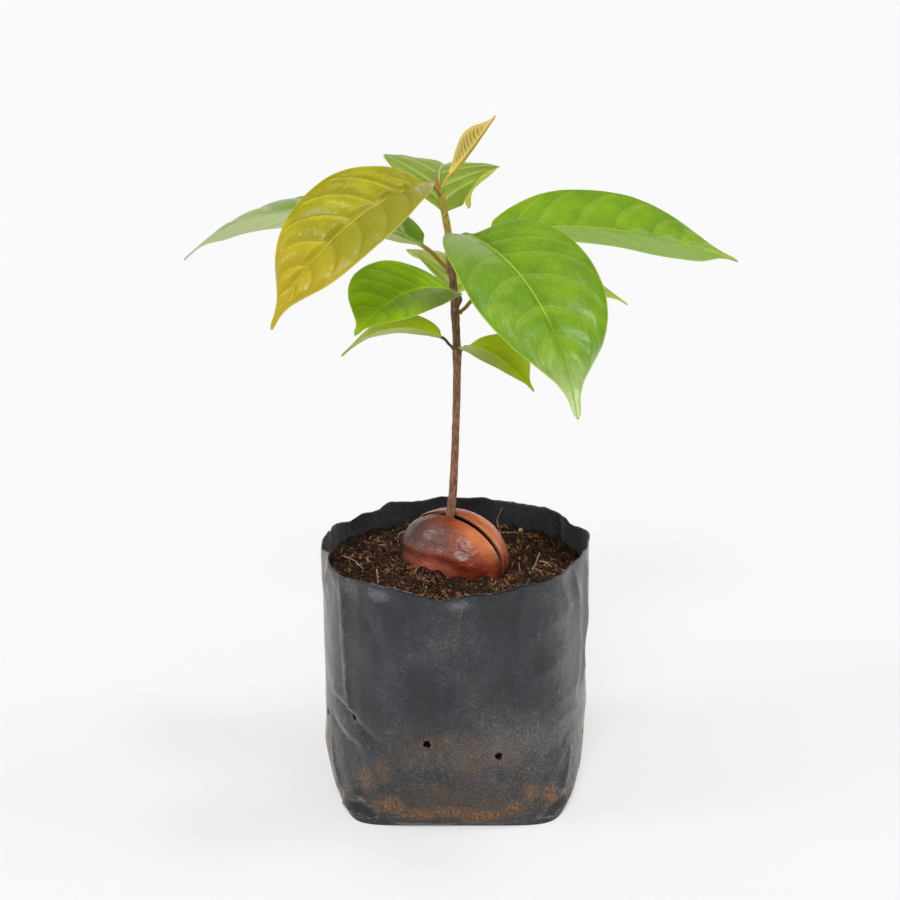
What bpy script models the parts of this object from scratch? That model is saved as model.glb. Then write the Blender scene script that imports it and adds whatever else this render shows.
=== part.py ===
"""Potted kola nut seedling: a nursery bag of soil, the split nut, the shoot and its leaves.

Metres, +Z up. The origin is the centre of the bag's base, on the surface it stands on.
"""

import math

import bpy
import numpy as np

for old in list(bpy.data.objects):
    bpy.data.objects.remove(old, do_unlink=True)

MM = 0.001

# ---- Driving dimensions, in millimetres and degrees ----

# Nursery bag: a polythene tube, round at the rim and squared at the base by its tucked corners.
BAG_WALL = 0.4
BAG_BASE = 0.5
# Its girth stays that of the flat tube, about 383, all the way down.
# (height, half width along X, half width along Y, shift along Y, how square: 2 is an ellipse)
BAG_PROFILE = [
    (0, 50.0, 52.8, -1.6, 6.8),
    (2, 53.2, 53.4, -2.0, 4.8),
    (6, 56.8, 55.4, -1.7, 3.3),
    (12, 59.2, 58.8, -0.8, 2.4),
    (20, 60.5, 60.3, -0.3, 2.1),
    (35, 60.9, 61.0, 0.0, 2.0),
    (60, 61.2, 61.2, 0.0, 2.0),
    (90, 61.3, 61.3, 0.0, 2.0),
    (125, 61.3, 61.3, 0.0, 2.0),
]
# The top was cut by hand: its height every 15 degrees, anticlockwise from +X.
RIM_HEIGHTS = [
    118.5, 117.0, 117.5, 117.0, 115.5, 116.5, 116.0, 114.5, 116.0, 114.5, 115.5, 115.5,
    115.5, 119.0, 117.0, 117.0, 118.0, 117.0, 117.0, 117.5, 118.5, 118.5, 119.0, 119.5,
]
BAG_SIDES = 48
HOLE_RADIUS = 1.25
HOLE_REACH = 3.0
# Drain holes, punched through both layers of the flat tube: angle and height.
DRAIN_HOLES = [(-167, 38), (-141, 47), (-102, 44), (-71, 37), (-9, 26)]

# Soil
SOIL_GAP = 0.45
SOIL_TOP = 103.8
SOIL_MOUND = 2.6
SOIL_MOUND_RADIUS = 30.0
SOIL_LUMPS = 1.05
# Soil pushed up against the nut: x, y, height, radius.
SOIL_HEAPS = [(-17, -7, 2.2, 10.5), (4, -17, 0.8, 9.5)]

# Nut: an ellipsoid split lengthwise, its halves opened by the shoot.
NUT_CENTRE = (0.3, 8.2, 108.7)
NUT_HALF_LENGTH = 26.8
NUT_HALF_DEPTH = 18.1
NUT_HALF_HEIGHT = 20.0
NUT_YAW = -36.0
NUT_PITCH = 2.5
NUT_ROLL = 7.0
NUT_GAP = 4.4
NUT_GAP_CHANGE = -1.9
NUT_CLEARANCE = 0.35
NUT_SIDES = 28
NUT_STEPS = 7
# The dome of each half stops this far short of its pole, in radians, and is capped flat.
NUT_POLE = 0.12

# Stem and taproot: (height, x, y, radius) up the shoot's centreline.
STEM = [
    (18, 3.0, 4.0, 0.6),
    (35, 2.0, 6.0, 1.1),
    (52, 0.4, 8.6, 1.5),
    (68, -0.9, 11.0, 1.8),
    (84, -1.8, 11.8, 2.0),
    (98, -2.4, 10.8, 2.1),
    (112, -2.5, 9.2, 2.1),
    (126, -2.3, 8.0, 2.1),
    (140, -0.9, 8.0, 1.9),
    (160, 0.0, 8.0, 1.75),
    (184, 0.7, 8.0, 1.75),
    (200, 0.9, 8.0, 1.8),
    (206.5, 0.9, 8.0, 2.15),
    (211, 0.7, 8.0, 1.85),
    (221, 0.3, 8.0, 1.8),
    (226, 0.0, 8.0, 2.1),
    (231, -0.3, 8.0, 1.8),
    (242, -1.1, 8.0, 1.7),
    (249, -1.9, 8.0, 2.0),
    (255, -2.4, 8.0, 1.65),
    (264, -3.2, 8.0, 1.6),
    (268, -3.9, 8.0, 1.7),
    (274, -5.0, 8.0, 1.5),
    (279, -5.9, 8.0, 1.6),
    (281.6, -6.3, 8.0, 1.1),
]
STEM_SIDES = 10
STEM_GAP = 0.3
# The stretch of the shoot that the nut's halves close round, and the one in the soil.
NUT_STRETCH = (68, 160)
SOIL_STRETCH = (18, 126)
# Side roots: (height on the taproot, heading, length, dip below level, radius)
SIDE_ROOTS = [
    (76, 20, 30, 35, 0.7),
    (70, 150, 34, 30, 0.7),
    (60, -80, 32, 40, 0.6),
    (48, 80, 28, 30, 0.6),
    (40, -160, 26, 35, 0.5),
]

# Leaves. A petiole leaves the stem at `height`, and the blade's midrib is an arc from it.
# reach: how far from the stem's centreline it starts, where that isn't just outside the stem.
# heading: compass direction seen from above, anticlockwise from +X.
# twist: how far the petiole's own heading differs from the blade's where it leaves the stem.
# rise: slope of the midrib above level at the blade's base, middle and tip.
# turn: how far the heading changes along the blade. roll: left side up, at base and tip.
# left, right: how far each half is folded up from flat, at base and tip.
# droop: how much each half curves down to its edge. slim: positive moves the widest place to the tip.
LEAVES = {
    "leaf_front_right": dict(
        height=252.5, heading=-62, petiole=20.5, petiole_rise=74, twist=0,
        length=136.0, width=63.5, rise=(4, -20, -37), turn=-20, roll=(6, 2),
        left=(29, -9), right=(33, 0), droop=0.14, slim=-0.15,
    ),
    "leaf_far_right": dict(
        height=250.0, heading=23, petiole=16.5, petiole_rise=56, twist=0,
        length=137.0, width=57.0, rise=(8, -14, -23), turn=4, roll=(5, 21),
        left=(14, 19), right=(11, 8), droop=0.05, slim=0.08,
    ),
    "leaf_far_left": dict(
        height=244.5, heading=148, petiole=14.0, petiole_rise=54, twist=0,
        length=138.5, width=57.5, rise=(24, -9, -46), turn=16, roll=(4, -8),
        left=(15, 0), right=(11, 5), droop=0.18, slim=-0.1,
    ),
    "leaf_left_bronze": dict(
        height=281.0, heading=239, petiole=11.0, petiole_rise=63, twist=0,
        length=117.5, width=50.5, rise=(8, -20, -64), turn=-27, roll=(-10, -5),
        left=(32, -1), right=(40, 1), droop=0.08, slim=0.17,
    ),
    "leaf_top_back": dict(
        height=266.5, heading=98, petiole=6.0, petiole_rise=32, twist=0,
        length=104.5, width=54.5, rise=(21, -7, -77), turn=-46, roll=(13, -5),
        left=(22, -3), right=(16, 2), droop=0.07, slim=0.08,
    ),
    "leaf_mid_left": dict(
        height=229.0, heading=229, petiole=11.5, petiole_rise=61, twist=74,
        length=79.5, width=43.0, rise=(33, -2, -17), turn=17, roll=(-11, -11),
        left=(12, 8), right=(18, 15), droop=0.02, slim=0.14,
    ),
    "leaf_low_left": dict(
        height=208.5, heading=160, petiole=6.0, petiole_rise=72, twist=0,
        length=54.0, width=30.5, rise=(26, -17, -47), turn=11, roll=(1, -1),
        left=(11, 12), right=(11, 13), droop=0.09, slim=0.13,
    ),
    "leaf_low_right": dict(
        height=207.5, heading=-56, petiole=6.0, petiole_rise=66, twist=0,
        length=50.0, width=26.0, rise=(20, -11, -33), turn=12, roll=(8, -3),
        left=(21, 12), right=(16, 14), droop=0.0, slim=-0.03,
    ),
    "leaf_mid_back": dict(
        height=227.0, heading=92, petiole=6.0, petiole_rise=54, twist=0,
        length=77.0, width=39.5, rise=(22, -2, -55), turn=16, roll=(11, 0),
        left=(30, -8), right=(22, -10), droop=0.08, slim=0.15,
    ),
    "leaf_mid_right": dict(
        height=225.5, heading=12, petiole=7.0, petiole_rise=62, twist=0,
        length=78.0, width=36.5, rise=(40, -8, -34), turn=-5, roll=(0, 8),
        left=(15, 10), right=(15, 5), droop=0.11, slim=0.01,
    ),
    "leaf_top_young": dict(
        height=282.3, heading=-1, petiole=7.0, petiole_rise=86, twist=0, reach=0.8,
        length=34.5, width=14.0, rise=(49, 54, 56), turn=-8, roll=(-1, -1),
        left=(78, 78), right=(78, 78), droop=0.03, slim=0.0,
    ),
}
BLADE_THICKNESS = 0.45
MIDRIB_DEPTH = 0.8
PETIOLE_RADIUS = 0.9
# A petiole swells a little where it leaves the stem, and starts this far outside it.
PETIOLE_COLLAR = 1.12
PETIOLE_GAP = 0.45
# A leaf shorter than SMALL_LEAF has a thinner petiole.
SMALL_LEAF = 60.0
SMALL_PETIOLE = 0.75
LEAF_SIDES = 14
PETIOLE_STEPS = 4
BLADE_STEPS = 60
# Width of a blade as a share of its widest, along its length: round base, long drip tip.
BLADE_OUTLINE = [
    (0.0, 0.0), (0.03, 0.25), (0.08, 0.46), (0.15, 0.68), (0.25, 0.88), (0.35, 0.975), (0.45, 1.0),
    (0.55, 0.96), (0.65, 0.84), (0.75, 0.62), (0.83, 0.35), (0.89, 0.165), (0.94, 0.07), (1.0, 0.0),
]
BLADE_STATIONS = [0.0, 0.035, 0.08, 0.15, 0.24, 0.34, 0.44, 0.54, 0.64, 0.73, 0.81, 0.87, 0.93, 1.0]

# Terminal bud: two scales, each (height, x, y, radius)
BUD_SCALES = [
    [(282.2, -7.3, 8.3, 0.65), (284.3, -7.6, 8.3, 0.8), (287.0, -7.9, 8.2, 0.6), (291.0, -8.2, 8.1, 0.2)],
    [(282.4, -7.2, 7.8, 0.5), (284.3, -6.9, 7.0, 0.55), (287.0, -6.6, 6.3, 0.2)],
]

# ---- Materials ----


def material(name, colour, roughness, specular=0.5):
    made = bpy.data.materials.new(name)
    made.use_nodes = True
    shader = made.node_tree.nodes["Principled BSDF"]
    shader.inputs["Base Color"].default_value = (*colour, 1.0)
    shader.inputs["Roughness"].default_value = roughness
    shader.inputs["Specular IOR Level"].default_value = specular
    return made


BAG_FILM = material("bag_film", (0.03, 0.032, 0.036), 0.45)
EARTH = material("earth", (0.06, 0.03, 0.018), 0.95, 0.1)
NUT_SKIN = material("nut_skin", (0.23, 0.045, 0.02), 0.35)
BARK = material("bark", (0.16, 0.075, 0.04), 0.75)
LEAF_GREEN = material("leaf_green", (0.12, 0.32, 0.03), 0.4)
LEAF_PALE = material("leaf_pale", (0.25, 0.42, 0.12), 0.45)
LEAF_BRONZE = material("leaf_bronze", (0.42, 0.38, 0.03), 0.4)
LEAF_GOLD = material("leaf_gold", (0.62, 0.45, 0.07), 0.45)
BUD_SCALE = material("bud_scale", (0.28, 0.14, 0.04), 0.6)

# ---- Shapes ----


def mesh_object(name, points, faces, look):
    """One closed body from points in millimetres."""
    mesh = bpy.data.meshes.new(name)
    mesh.from_pydata([tuple(float(v) * MM for v in p) for p in points], [], faces)
    mesh.materials.append(look)
    made = bpy.data.objects.new(name, mesh)
    bpy.context.scene.collection.objects.link(made)
    return made


def loft(rings, lean=False):
    """Points and faces of rings joined in order and capped.

    They face out when each ring runs anticlockwise about the way along. lean picks which diagonal
    splits each four-cornered face, so that two nested skins match.
    """
    count = len(rings[0])
    points = [p for ring in rings for p in ring]
    faces = []
    for i in range(len(rings) - 1):
        for j in range(count):
            k = (j + 1) % count
            a, b = i * count, (i + 1) * count
            if lean:
                faces += [(a + j, a + k, b + j), (a + k, b + k, b + j)]
            else:
                faces += [(a + j, a + k, b + k), (a + j, b + k, b + j)]
    last = (len(rings) - 1) * count
    start, end = len(points), len(points) + 1
    points.append(np.mean(rings[0], axis=0))
    points.append(np.mean(rings[-1], axis=0))
    for j in range(count):
        k = (j + 1) % count
        faces.append((start, k, j))
        faces.append((end, last + j, last + k))
    return points, faces


def tube(path, radii, sides):
    """A round rod along a path that runs mostly one way."""
    path = np.array(path, float)
    along = np.gradient(path, axis=0)
    along /= np.linalg.norm(along, axis=1)[:, None]
    guide = np.array([0.0, 1.0, 0.0]) if abs(along[0][1]) < 0.8 else np.array([1.0, 0.0, 0.0])
    rings = []
    for centre, way, radius in zip(path, along, radii):
        first = np.cross(guide, way)
        first /= np.linalg.norm(first)
        second = np.cross(way, first)
        turns = np.arange(sides) * 2 * math.pi / sides
        rings.append(
            centre + radius * (np.outer(np.cos(turns), first) + np.outer(np.sin(turns), second))
        )
    return loft(rings)


def cutter(name, points, faces):
    made = mesh_object(name, points, faces, EARTH)
    made.hide_render = True
    made.display_type = "WIRE"
    return made


def boolean(target, other, operation):
    modifier = target.modifiers.new(other.name, "BOOLEAN")
    modifier.operation = operation
    modifier.solver = "EXACT"
    modifier.object = other


# ---- Bag ----


def bag_point(angle, height, inset):
    """A point of the bag's section at one height, moved in from the outside by inset."""
    heights, wide, deep, shift, square = (list(column) for column in zip(*BAG_PROFILE))
    power = np.interp(height, heights, square)
    c, s = math.cos(angle), math.sin(angle)
    reach = 1 / (abs(c) ** power + abs(s) ** power) ** (1 / power)
    x = (np.interp(height, heights, wide) - inset) * reach * c
    y = (np.interp(height, heights, deep) - inset) * reach * s + np.interp(height, heights, shift)
    return np.array([x, y, height])


def rim_height(angle):
    share = (math.degrees(angle) % 360) / 15
    low = int(share)
    return RIM_HEIGHTS[low % 24] * (1 - share + low) + RIM_HEIGHTS[(low + 1) % 24] * (share - low)


def around(height, inset):
    """A ring of the bag's section. height is a number, or None for the rim."""
    ring = []
    for j in range(BAG_SIDES):
        angle = 2 * math.pi * j / BAG_SIDES
        ring.append(bag_point(angle, rim_height(angle) if height is None else height, inset))
    return np.array(ring)


outside = [around(z, 0) for z in (0, 2, 6, 12, 20, 35, 60, 90)] + [around(None, 0)]
inside = [around(None, BAG_WALL)] + [
    around(z, BAG_WALL) for z in (90, 60, 35, 20, 12, 6, 2, BAG_BASE)
]
bag = mesh_object("grow_bag", *loft(outside + inside, lean=True), BAG_FILM)

hole_points, hole_faces = [], []
for degrees, height in DRAIN_HOLES:
    for angle in (math.radians(degrees), -math.radians(degrees)):
        path = [bag_point(angle, height, inset) for inset in (HOLE_REACH, 0, -HOLE_REACH)]
        points, faces = tube(path, [HOLE_RADIUS] * 3, 8)
        hole_faces += [tuple(i + len(hole_points) for i in face) for face in faces]
        hole_points += points
boolean(bag, cutter("drain_holes", hole_points, hole_faces), "DIFFERENCE")

# ---- Nut ----


def nut_frame():
    """The nut's own axes as columns: along it, across its split, and up in the split."""
    yaw, pitch, roll = (math.radians(v) for v in (NUT_YAW, NUT_PITCH, NUT_ROLL))
    about_z = np.array(
        [[math.cos(yaw), -math.sin(yaw), 0], [math.sin(yaw), math.cos(yaw), 0], [0, 0, 1]]
    )
    about_y = np.array(
        [[math.cos(pitch), 0, math.sin(pitch)], [0, 1, 0], [-math.sin(pitch), 0, math.cos(pitch)]]
    )
    about_x = np.array(
        [[1, 0, 0], [0, math.cos(roll), -math.sin(roll)], [0, math.sin(roll), math.cos(roll)]]
    )
    return about_z @ about_y @ about_x


def nut_rings(side, grow):
    """Rings from the split face to the middle of one half's outside."""
    turns = np.arange(NUT_SIDES) * 2 * math.pi / NUT_SIDES
    rings = []
    for lift in np.linspace(0, math.pi / 2 - NUT_POLE, NUT_STEPS):
        flat = math.cos(lift)
        x = (NUT_HALF_LENGTH + grow) * np.cos(turns) * flat
        z = (NUT_HALF_HEIGHT + grow) * np.sin(turns) * flat
        gap = NUT_GAP / 2 + NUT_GAP_CHANGE / 2 * x / NUT_HALF_LENGTH
        y = side * (gap + (NUT_HALF_DEPTH + grow) * math.sin(lift))
        ring = np.stack([x, y, z], axis=1) @ nut_frame().T + np.array(NUT_CENTRE)
        rings.append(ring if side < 0 else ring[::-1])
    return rings


def stem_path(low, high):
    return [row for row in STEM if low <= row[0] <= high]


rows = stem_path(*NUT_STRETCH)
groove_points, groove_faces = tube(
    [(x, y, z) for z, x, y, _ in rows], [r + NUT_CLEARANCE for *_, r in rows], 16
)
groove = cutter("stem_groove", groove_points, groove_faces)
for name, side in (("nut_front_half", -1), ("nut_back_half", 1)):
    half = mesh_object(name, *loft(nut_rings(side, 0)), NUT_SKIN)
    boolean(half, groove, "DIFFERENCE")

# ---- Stem and roots ----

points, faces = tube([(x, y, z) for z, x, y, _ in STEM], [r for *_, r in STEM], STEM_SIDES)
stem = mesh_object("stem_and_taproot", points, faces, BARK)


def stem_at(height):
    heights = [row[0] for row in STEM]
    return [float(np.interp(height, heights, [row[i] for row in STEM])) for i in (1, 2, 3)]


def side_root(height, heading, length, dip, radius, grow):
    x, y, _ = stem_at(height)
    way = np.array([math.cos(math.radians(heading)), math.sin(math.radians(heading)), 0])
    path, radii = [], []
    for share in (0, 0.35, 0.7, 1.0):
        fall = math.tan(math.radians(dip)) * share * (0.6 + 0.6 * share)
        path.append(np.array([x, y, height]) + length * (way * share - np.array([0, 0, fall])))
        radii.append(radius * (1 - 0.55 * share) + grow)
    path[-1] = path[-1] + (path[-1] - path[-2]) / np.linalg.norm(path[-1] - path[-2]) * grow
    return tube(path, radii, 6)


# ---- Soil ----


def soil_height(x, y):
    """A shallow mound round the nut, with lumps about 20 mm apart and heaps against its front."""
    off = math.hypot(x - NUT_CENTRE[0], y - NUT_CENTRE[1])
    lumps = math.sin(0.31 * x + 1.3) * math.cos(0.27 * y - 0.4) + 0.6 * math.sin(0.53 * x - 0.47 * y)
    height = SOIL_TOP + SOIL_MOUND * math.exp(-((off / SOIL_MOUND_RADIUS) ** 2)) + SOIL_LUMPS * lumps
    for heap_x, heap_y, rise, radius in SOIL_HEAPS:
        height += rise * math.exp(-((x - heap_x) ** 2 + (y - heap_y) ** 2) / radius**2)
    return height


soil_inset = BAG_WALL + SOIL_GAP
soil_rings = [around(z, soil_inset) for z in (BAG_BASE + SOIL_GAP, 2, 6, 12, 20, 35, 60, 90)]
for share in (1.0, 0.91, 0.81, 0.71, 0.61, 0.51, 0.41, 0.31, 0.21, 0.1):
    ring = around(SOIL_TOP, soil_inset) * np.array([share, share, 1])
    for point in ring:
        point[2] = soil_height(point[0], point[1])
    soil_rings.append(ring)
soil = mesh_object("soil", *loft(soil_rings), EARTH)

pocket = nut_rings(-1, NUT_CLEARANCE)[::-1]
pocket += [ring[::-1] for ring in nut_rings(1, NUT_CLEARANCE)]
pocket_points, pocket_faces = loft([ring[::-1] for ring in pocket])
boolean(soil, cutter("nut_pocket", pocket_points, pocket_faces), "DIFFERENCE")

rows = stem_path(*SOIL_STRETCH)
path = [(x, y, z) for z, x, y, _ in rows]
path[0] = (path[0][0], path[0][1], path[0][2] - STEM_GAP)
channel_points, channel_faces = tube(path, [r + STEM_GAP for *_, r in rows], 12)
boolean(soil, cutter("root_channel", channel_points, channel_faces), "DIFFERENCE")

for number, (height, heading, length, dip, radius) in enumerate(SIDE_ROOTS):
    points, faces = side_root(height, heading, length, dip, radius, 0)
    boolean(stem, cutter(f"side_root_{number}", points, faces), "UNION")
    points, faces = side_root(height, heading, length, dip, radius, STEM_GAP)
    boolean(soil, cutter(f"side_channel_{number}", points, faces), "DIFFERENCE")

# ---- Leaves ----


def along_three(values, share):
    """A smooth run through the values at the base, the middle and the tip."""
    base, middle, tip = values
    return (
        base * (1 - share) * (1 - 2 * share)
        + 4 * middle * share * (1 - share)
        + tip * share * (2 * share - 1)
    )


def ramp(pair, share):
    return pair[0] + (pair[1] - pair[0]) * share


def way_of(rise, heading):
    rise, heading = math.radians(rise), math.radians(heading)
    return np.array(
        [math.cos(rise) * math.cos(heading), math.cos(rise) * math.sin(heading), math.sin(rise)]
    )


def blade_share(share, slim):
    stations, widths = zip(*BLADE_OUTLINE)
    return float(np.interp(share ** (1 + slim), stations, widths))


def leaf_rings(leaf):
    x, y, stem_radius = stem_at(leaf["height"])
    start_heading = leaf["heading"] + leaf["twist"]
    steep = math.sin(math.radians(min(leaf["petiole_rise"], 90)))
    small = PETIOLE_RADIUS * (SMALL_PETIOLE if leaf["length"] < SMALL_LEAF else 1.0)
    reach = leaf.get("reach", stem_radius + PETIOLE_COLLAR * small * steep + PETIOLE_GAP)
    place = np.array([x, y, leaf["height"]]) + reach * way_of(0, start_heading)
    turns = (np.arange(LEAF_SIDES) + 0.5) * 2 * math.pi / LEAF_SIDES

    def frame(rise, heading, roll):
        way = way_of(rise, heading)
        flat = np.array([-math.sin(math.radians(heading)), math.cos(math.radians(heading)), 0])
        up = np.cross(way, flat)
        c, s = math.cos(math.radians(roll)), math.sin(math.radians(roll))
        return way, flat * c + up * s, up * c - flat * s

    def circle(centre, left, up, radius):
        # from the left side over the top to the right side, and back below
        return [centre + radius * (math.cos(t) * left + math.sin(t) * up) for t in turns]

    rings = []
    for i in range(PETIOLE_STEPS):
        rise = ramp((leaf["petiole_rise"], leaf["rise"][0]), (i / PETIOLE_STEPS) ** 1.5)
        heading = leaf["heading"] + leaf["twist"] * (1 - i / PETIOLE_STEPS)
        _, left, up = frame(rise, heading, leaf["roll"][0])
        rings.append(circle(place, left, up, small * (PETIOLE_COLLAR if i == 0 else 1.0)))
        middle = (i + 0.5) / PETIOLE_STEPS
        rise = ramp((leaf["petiole_rise"], leaf["rise"][0]), middle**1.5)
        heading = leaf["heading"] + leaf["twist"] * (1 - middle)
        place = place + leaf["petiole"] / PETIOLE_STEPS * way_of(rise, heading)

    here = 0
    for share in BLADE_STATIONS:
        while here < round(share * BLADE_STEPS):
            middle = (here + 0.5) / BLADE_STEPS
            place = place + leaf["length"] / BLADE_STEPS * way_of(
                along_three(leaf["rise"], middle), leaf["heading"] + leaf["turn"] * middle**1.5
            )
            here += 1
        _, left, up = frame(
            along_three(leaf["rise"], share),
            leaf["heading"] + leaf["turn"] * share**1.5,
            ramp(leaf["roll"], share),
        )
        half = max(blade_share(share, leaf["slim"]) * leaf["width"] / 2, 0.3)
        top, under = [], []
        for across in (1, 0.62, 0.28, 0, -0.28, -0.62, -1):
            fold = math.radians(ramp(leaf["left"] if across > 0 else leaf["right"], share))
            lift = abs(across) * math.sin(fold) - leaf["droop"] * across * across
            spot = place + half * (across * math.cos(fold) * left + lift * up)
            normal = up * math.cos(fold) - math.copysign(math.sin(fold), across) * left
            depth = BLADE_THICKNESS
            if across == 0:
                normal = up
                depth += MIDRIB_DEPTH * (1 - share)
            top.append(spot)
            under.append(spot - normal * depth)
        blade = np.array(top + under[::-1])
        round_part = np.array(circle(place, left, up, small * (1 - 0.5 * share)))
        blend = min(share / 0.08, 1.0)
        blend = blend * blend * (3 - 2 * blend)
        rings.append(round_part * (1 - blend) + blade * blend)
    return rings


LOOKS = {
    "leaf_left_bronze": LEAF_BRONZE,
    "leaf_top_young": LEAF_GOLD,
    "leaf_far_left": LEAF_PALE,
    "leaf_top_back": LEAF_PALE,
    "leaf_mid_back": LEAF_PALE,
}  # the others are LEAF_GREEN
for name, leaf in LEAVES.items():
    points, faces = loft(leaf_rings(leaf))
    mesh_object(name, points, faces, LOOKS.get(name, LEAF_GREEN))

# ---- Terminal bud ----

bud = None
for number, rows in enumerate(BUD_SCALES):
    points, faces = tube([(x, y, z) for z, x, y, _ in rows], [r for *_, r in rows], 8)
    if bud is None:
        bud = mesh_object("terminal_bud", points, faces, BUD_SCALE)
    else:
        boolean(bud, cutter(f"bud_scale_{number}", points, faces), "UNION")
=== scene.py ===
import math

import bpy
import numpy as np
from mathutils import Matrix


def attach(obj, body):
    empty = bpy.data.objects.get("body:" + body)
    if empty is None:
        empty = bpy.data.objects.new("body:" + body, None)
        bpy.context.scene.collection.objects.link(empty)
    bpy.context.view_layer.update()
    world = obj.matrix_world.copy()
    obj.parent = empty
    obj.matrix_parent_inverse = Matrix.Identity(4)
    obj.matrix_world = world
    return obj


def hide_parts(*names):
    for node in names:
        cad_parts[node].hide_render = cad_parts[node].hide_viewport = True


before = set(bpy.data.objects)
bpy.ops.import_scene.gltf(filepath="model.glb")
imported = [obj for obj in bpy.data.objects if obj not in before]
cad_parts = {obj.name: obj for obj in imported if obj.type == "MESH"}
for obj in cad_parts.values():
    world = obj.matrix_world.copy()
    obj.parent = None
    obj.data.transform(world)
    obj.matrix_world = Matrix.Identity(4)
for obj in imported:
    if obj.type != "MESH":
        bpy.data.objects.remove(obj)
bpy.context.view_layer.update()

# ---- Nursery bag ----
# A black polythene tube, sealed flat at the bottom with its two corners tucked in, cut by hand at
# the top and punched with drain holes while flat. The film keeps the creases it was folded in, is
# pushed out by the soil behind it, and is dusty, scratched and stained with soil near the ground.

MM = 0.001
ROUND = 2 * math.pi
# height, half width along X, half width along Y, shift along Y, how square (2 is an ellipse)
BAG_PROFILE = [
    (0, 50.0, 52.8, -1.6, 6.8), (2, 53.2, 53.4, -2.0, 4.8), (6, 56.8, 55.4, -1.7, 3.3),
    (12, 59.2, 58.8, -0.8, 2.4), (20, 60.5, 60.3, -0.3, 2.1), (35, 60.9, 61.0, 0.0, 2.0),
    (60, 61.2, 61.2, 0.0, 2.0), (90, 61.3, 61.3, 0.0, 2.0), (125, 61.3, 61.3, 0.0, 2.0),
]
BAG_GIRTH_RADIUS = 61.3
MM_PER_DEGREE = math.radians(BAG_GIRTH_RADIUS)
# The hand-cut rim: angle anticlockwise from +X, and height. Close pairs are steps of the blade.
RIM = [
    (-196, 116.3), (-189, 115.7), (-177, 115.4), (-163, 119.0), (-155, 120.2), (-152, 117.8),
    (-144, 116.0), (-128, 118.2), (-117, 118.1), (-103, 117.0), (-96, 116.3), (-84, 117.4),
    (-72, 117.7), (-59, 118.8), (-48.5, 117.9), (-45.5, 119.8), (-28, 119.1), (-20.5, 119.4),
    (-18, 121.2), (-3, 118.9), (17, 117.0), (25.5, 116.8), (27.5, 118.4), (38, 117.2), (47, 117.3),
    (59, 115.4), (71, 115.0), (76.5, 116.7), (95, 115.9), (105, 114.2), (120.5, 116.1),
    (126, 113.8), (138.5, 116.0), (143.5, 113.4), (158.5, 116.0), (161, 114.7), (164, 116.3),
]
FILM_WALL = 0.22
# Creases: how far they stand out, how wide they spread, and (angle, height) along them.
CREASES = [
    (1.0, 1.2, [(-146, 117), (-144, 86), (-143, 66), (-142, 50)]),
    (0.8, 3.0, [(-153, 119), (-159, 112), (-167, 101)]),
    (0.9, 1.6, [(-28, 118), (-25, 95), (-24, 79), (-25, 64), (-28, 49)]),
    (0.8, 1.2, [(-16, 118), (-15, 90), (-16, 62), (-19, 50)]),
    (0.5, 2.2, [(-22, 46), (-34, 47), (-47, 43)]),
    (0.35, 2.0, [(-28, 57), (-39, 56), (-47, 54)]),
    (0.4, 3.0, [(-41, 118), (-37, 108), (-34, 97)]),
    (0.5, 2.2, [(-156, 57), (-146, 54), (-138, 50)]),
    (-0.9, 2.4, [(-155, 51), (-145, 48), (-137, 44), (-128, 40), (-116, 40.5)]),
    (-0.6, 2.4, [(-160, 38), (-151, 35), (-143, 33), (-134, 34)]),
    (0.4, 1.8, [(-149, 40), (-139, 37.5), (-129, 36)]),
    (0.45, 3.5, [(-127, 117), (-122, 104), (-121, 92)]),
    (0.45, 2.4, [(-88, 4), (-70, 2.5), (-55, 4)]),
    (0.6, 1.4, [(-118, 3.2), (-100, 2.2), (-84, 2.8)]),
    (0.7, 1.5, [(-30, 30), (-33, 20), (-40, 10)]),
    (0.5, 1.5, [(-160, 30), (-156, 18), (-148, 9)]),
    (0.35, 2.5, [(-112, 116), (-108, 104), (-110, 88)]),
    (0.3, 3.0, [(-60, 114), (-64, 98), (-60, 80)]),
    (-0.5, 2.5, [(-50, 30), (-36, 33), (-24, 38)]),
    (0.5, 4.5, [(-62, 90), (-40, 98), (-20, 104)]),
    (0.35, 4.0, [(-60, 70), (-42, 76), (-26, 86)]),
    (-0.4, 4.0, [(-130, 102), (-124, 88), (-128, 70)]),
    (0.4, 1.4, [(-42, 24), (-34, 30), (-27, 38)]),
    (0.6, 1.3, [(-57, 2.5), (-50, 8.0), (-41, 12.0), (-31, 11.0)]),
    (0.5, 1.2, [(-49, 4.0), (-41, 6.6), (-35, 6.4)]),
    (0.5, 1.3, [(-144, 6.5), (-137, 11.5), (-127, 12.0), (-119, 7.5)]),
    (0.5, 1.2, [(-137, 4.6), (-131, 6.6), (-126, 5.2)]),
    (0.9, 2.6, [(36, 117), (38, 88), (37, 60), (33, 44)]),
    (1.0, 2.8, [(143, 116), (141, 92), (142, 58), (147, 40)]),
    (0.5, 2.2, [(33, 42), (50, 38), (63, 40)]),
    (-0.8, 2.4, [(147, 38), (130, 33), (117, 36)]),
    (0.5, 3.0, [(95, 116), (98, 98), (96, 84)]),
    (0.6, 3.0, [(174, 115), (171, 90), (174, 66)]),
]
# The tucked corners: the flap of film that folds over each one, as (angle, height) round its edge.
EARS = [
    [(-144, 3.0), (-139, 8.0), (-131, 10.6), (-122, 7.2), (-124, 4.0), (-133, 2.2), (-144, 3.0)],
    [(-54, 3.2), (-48, 6.4), (-40, 10.4), (-32, 9.0), (-37, 4.4), (-46, 2.2), (-54, 3.2)],
    [(33, 3.4), (40, 9.0), (50, 9.8), (58, 5.2), (48, 2.0), (33, 3.4)],
    [(124, 4.0), (133, 9.8), (146, 8.8), (150, 3.6), (138, 1.8), (124, 4.0)],
]
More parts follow.
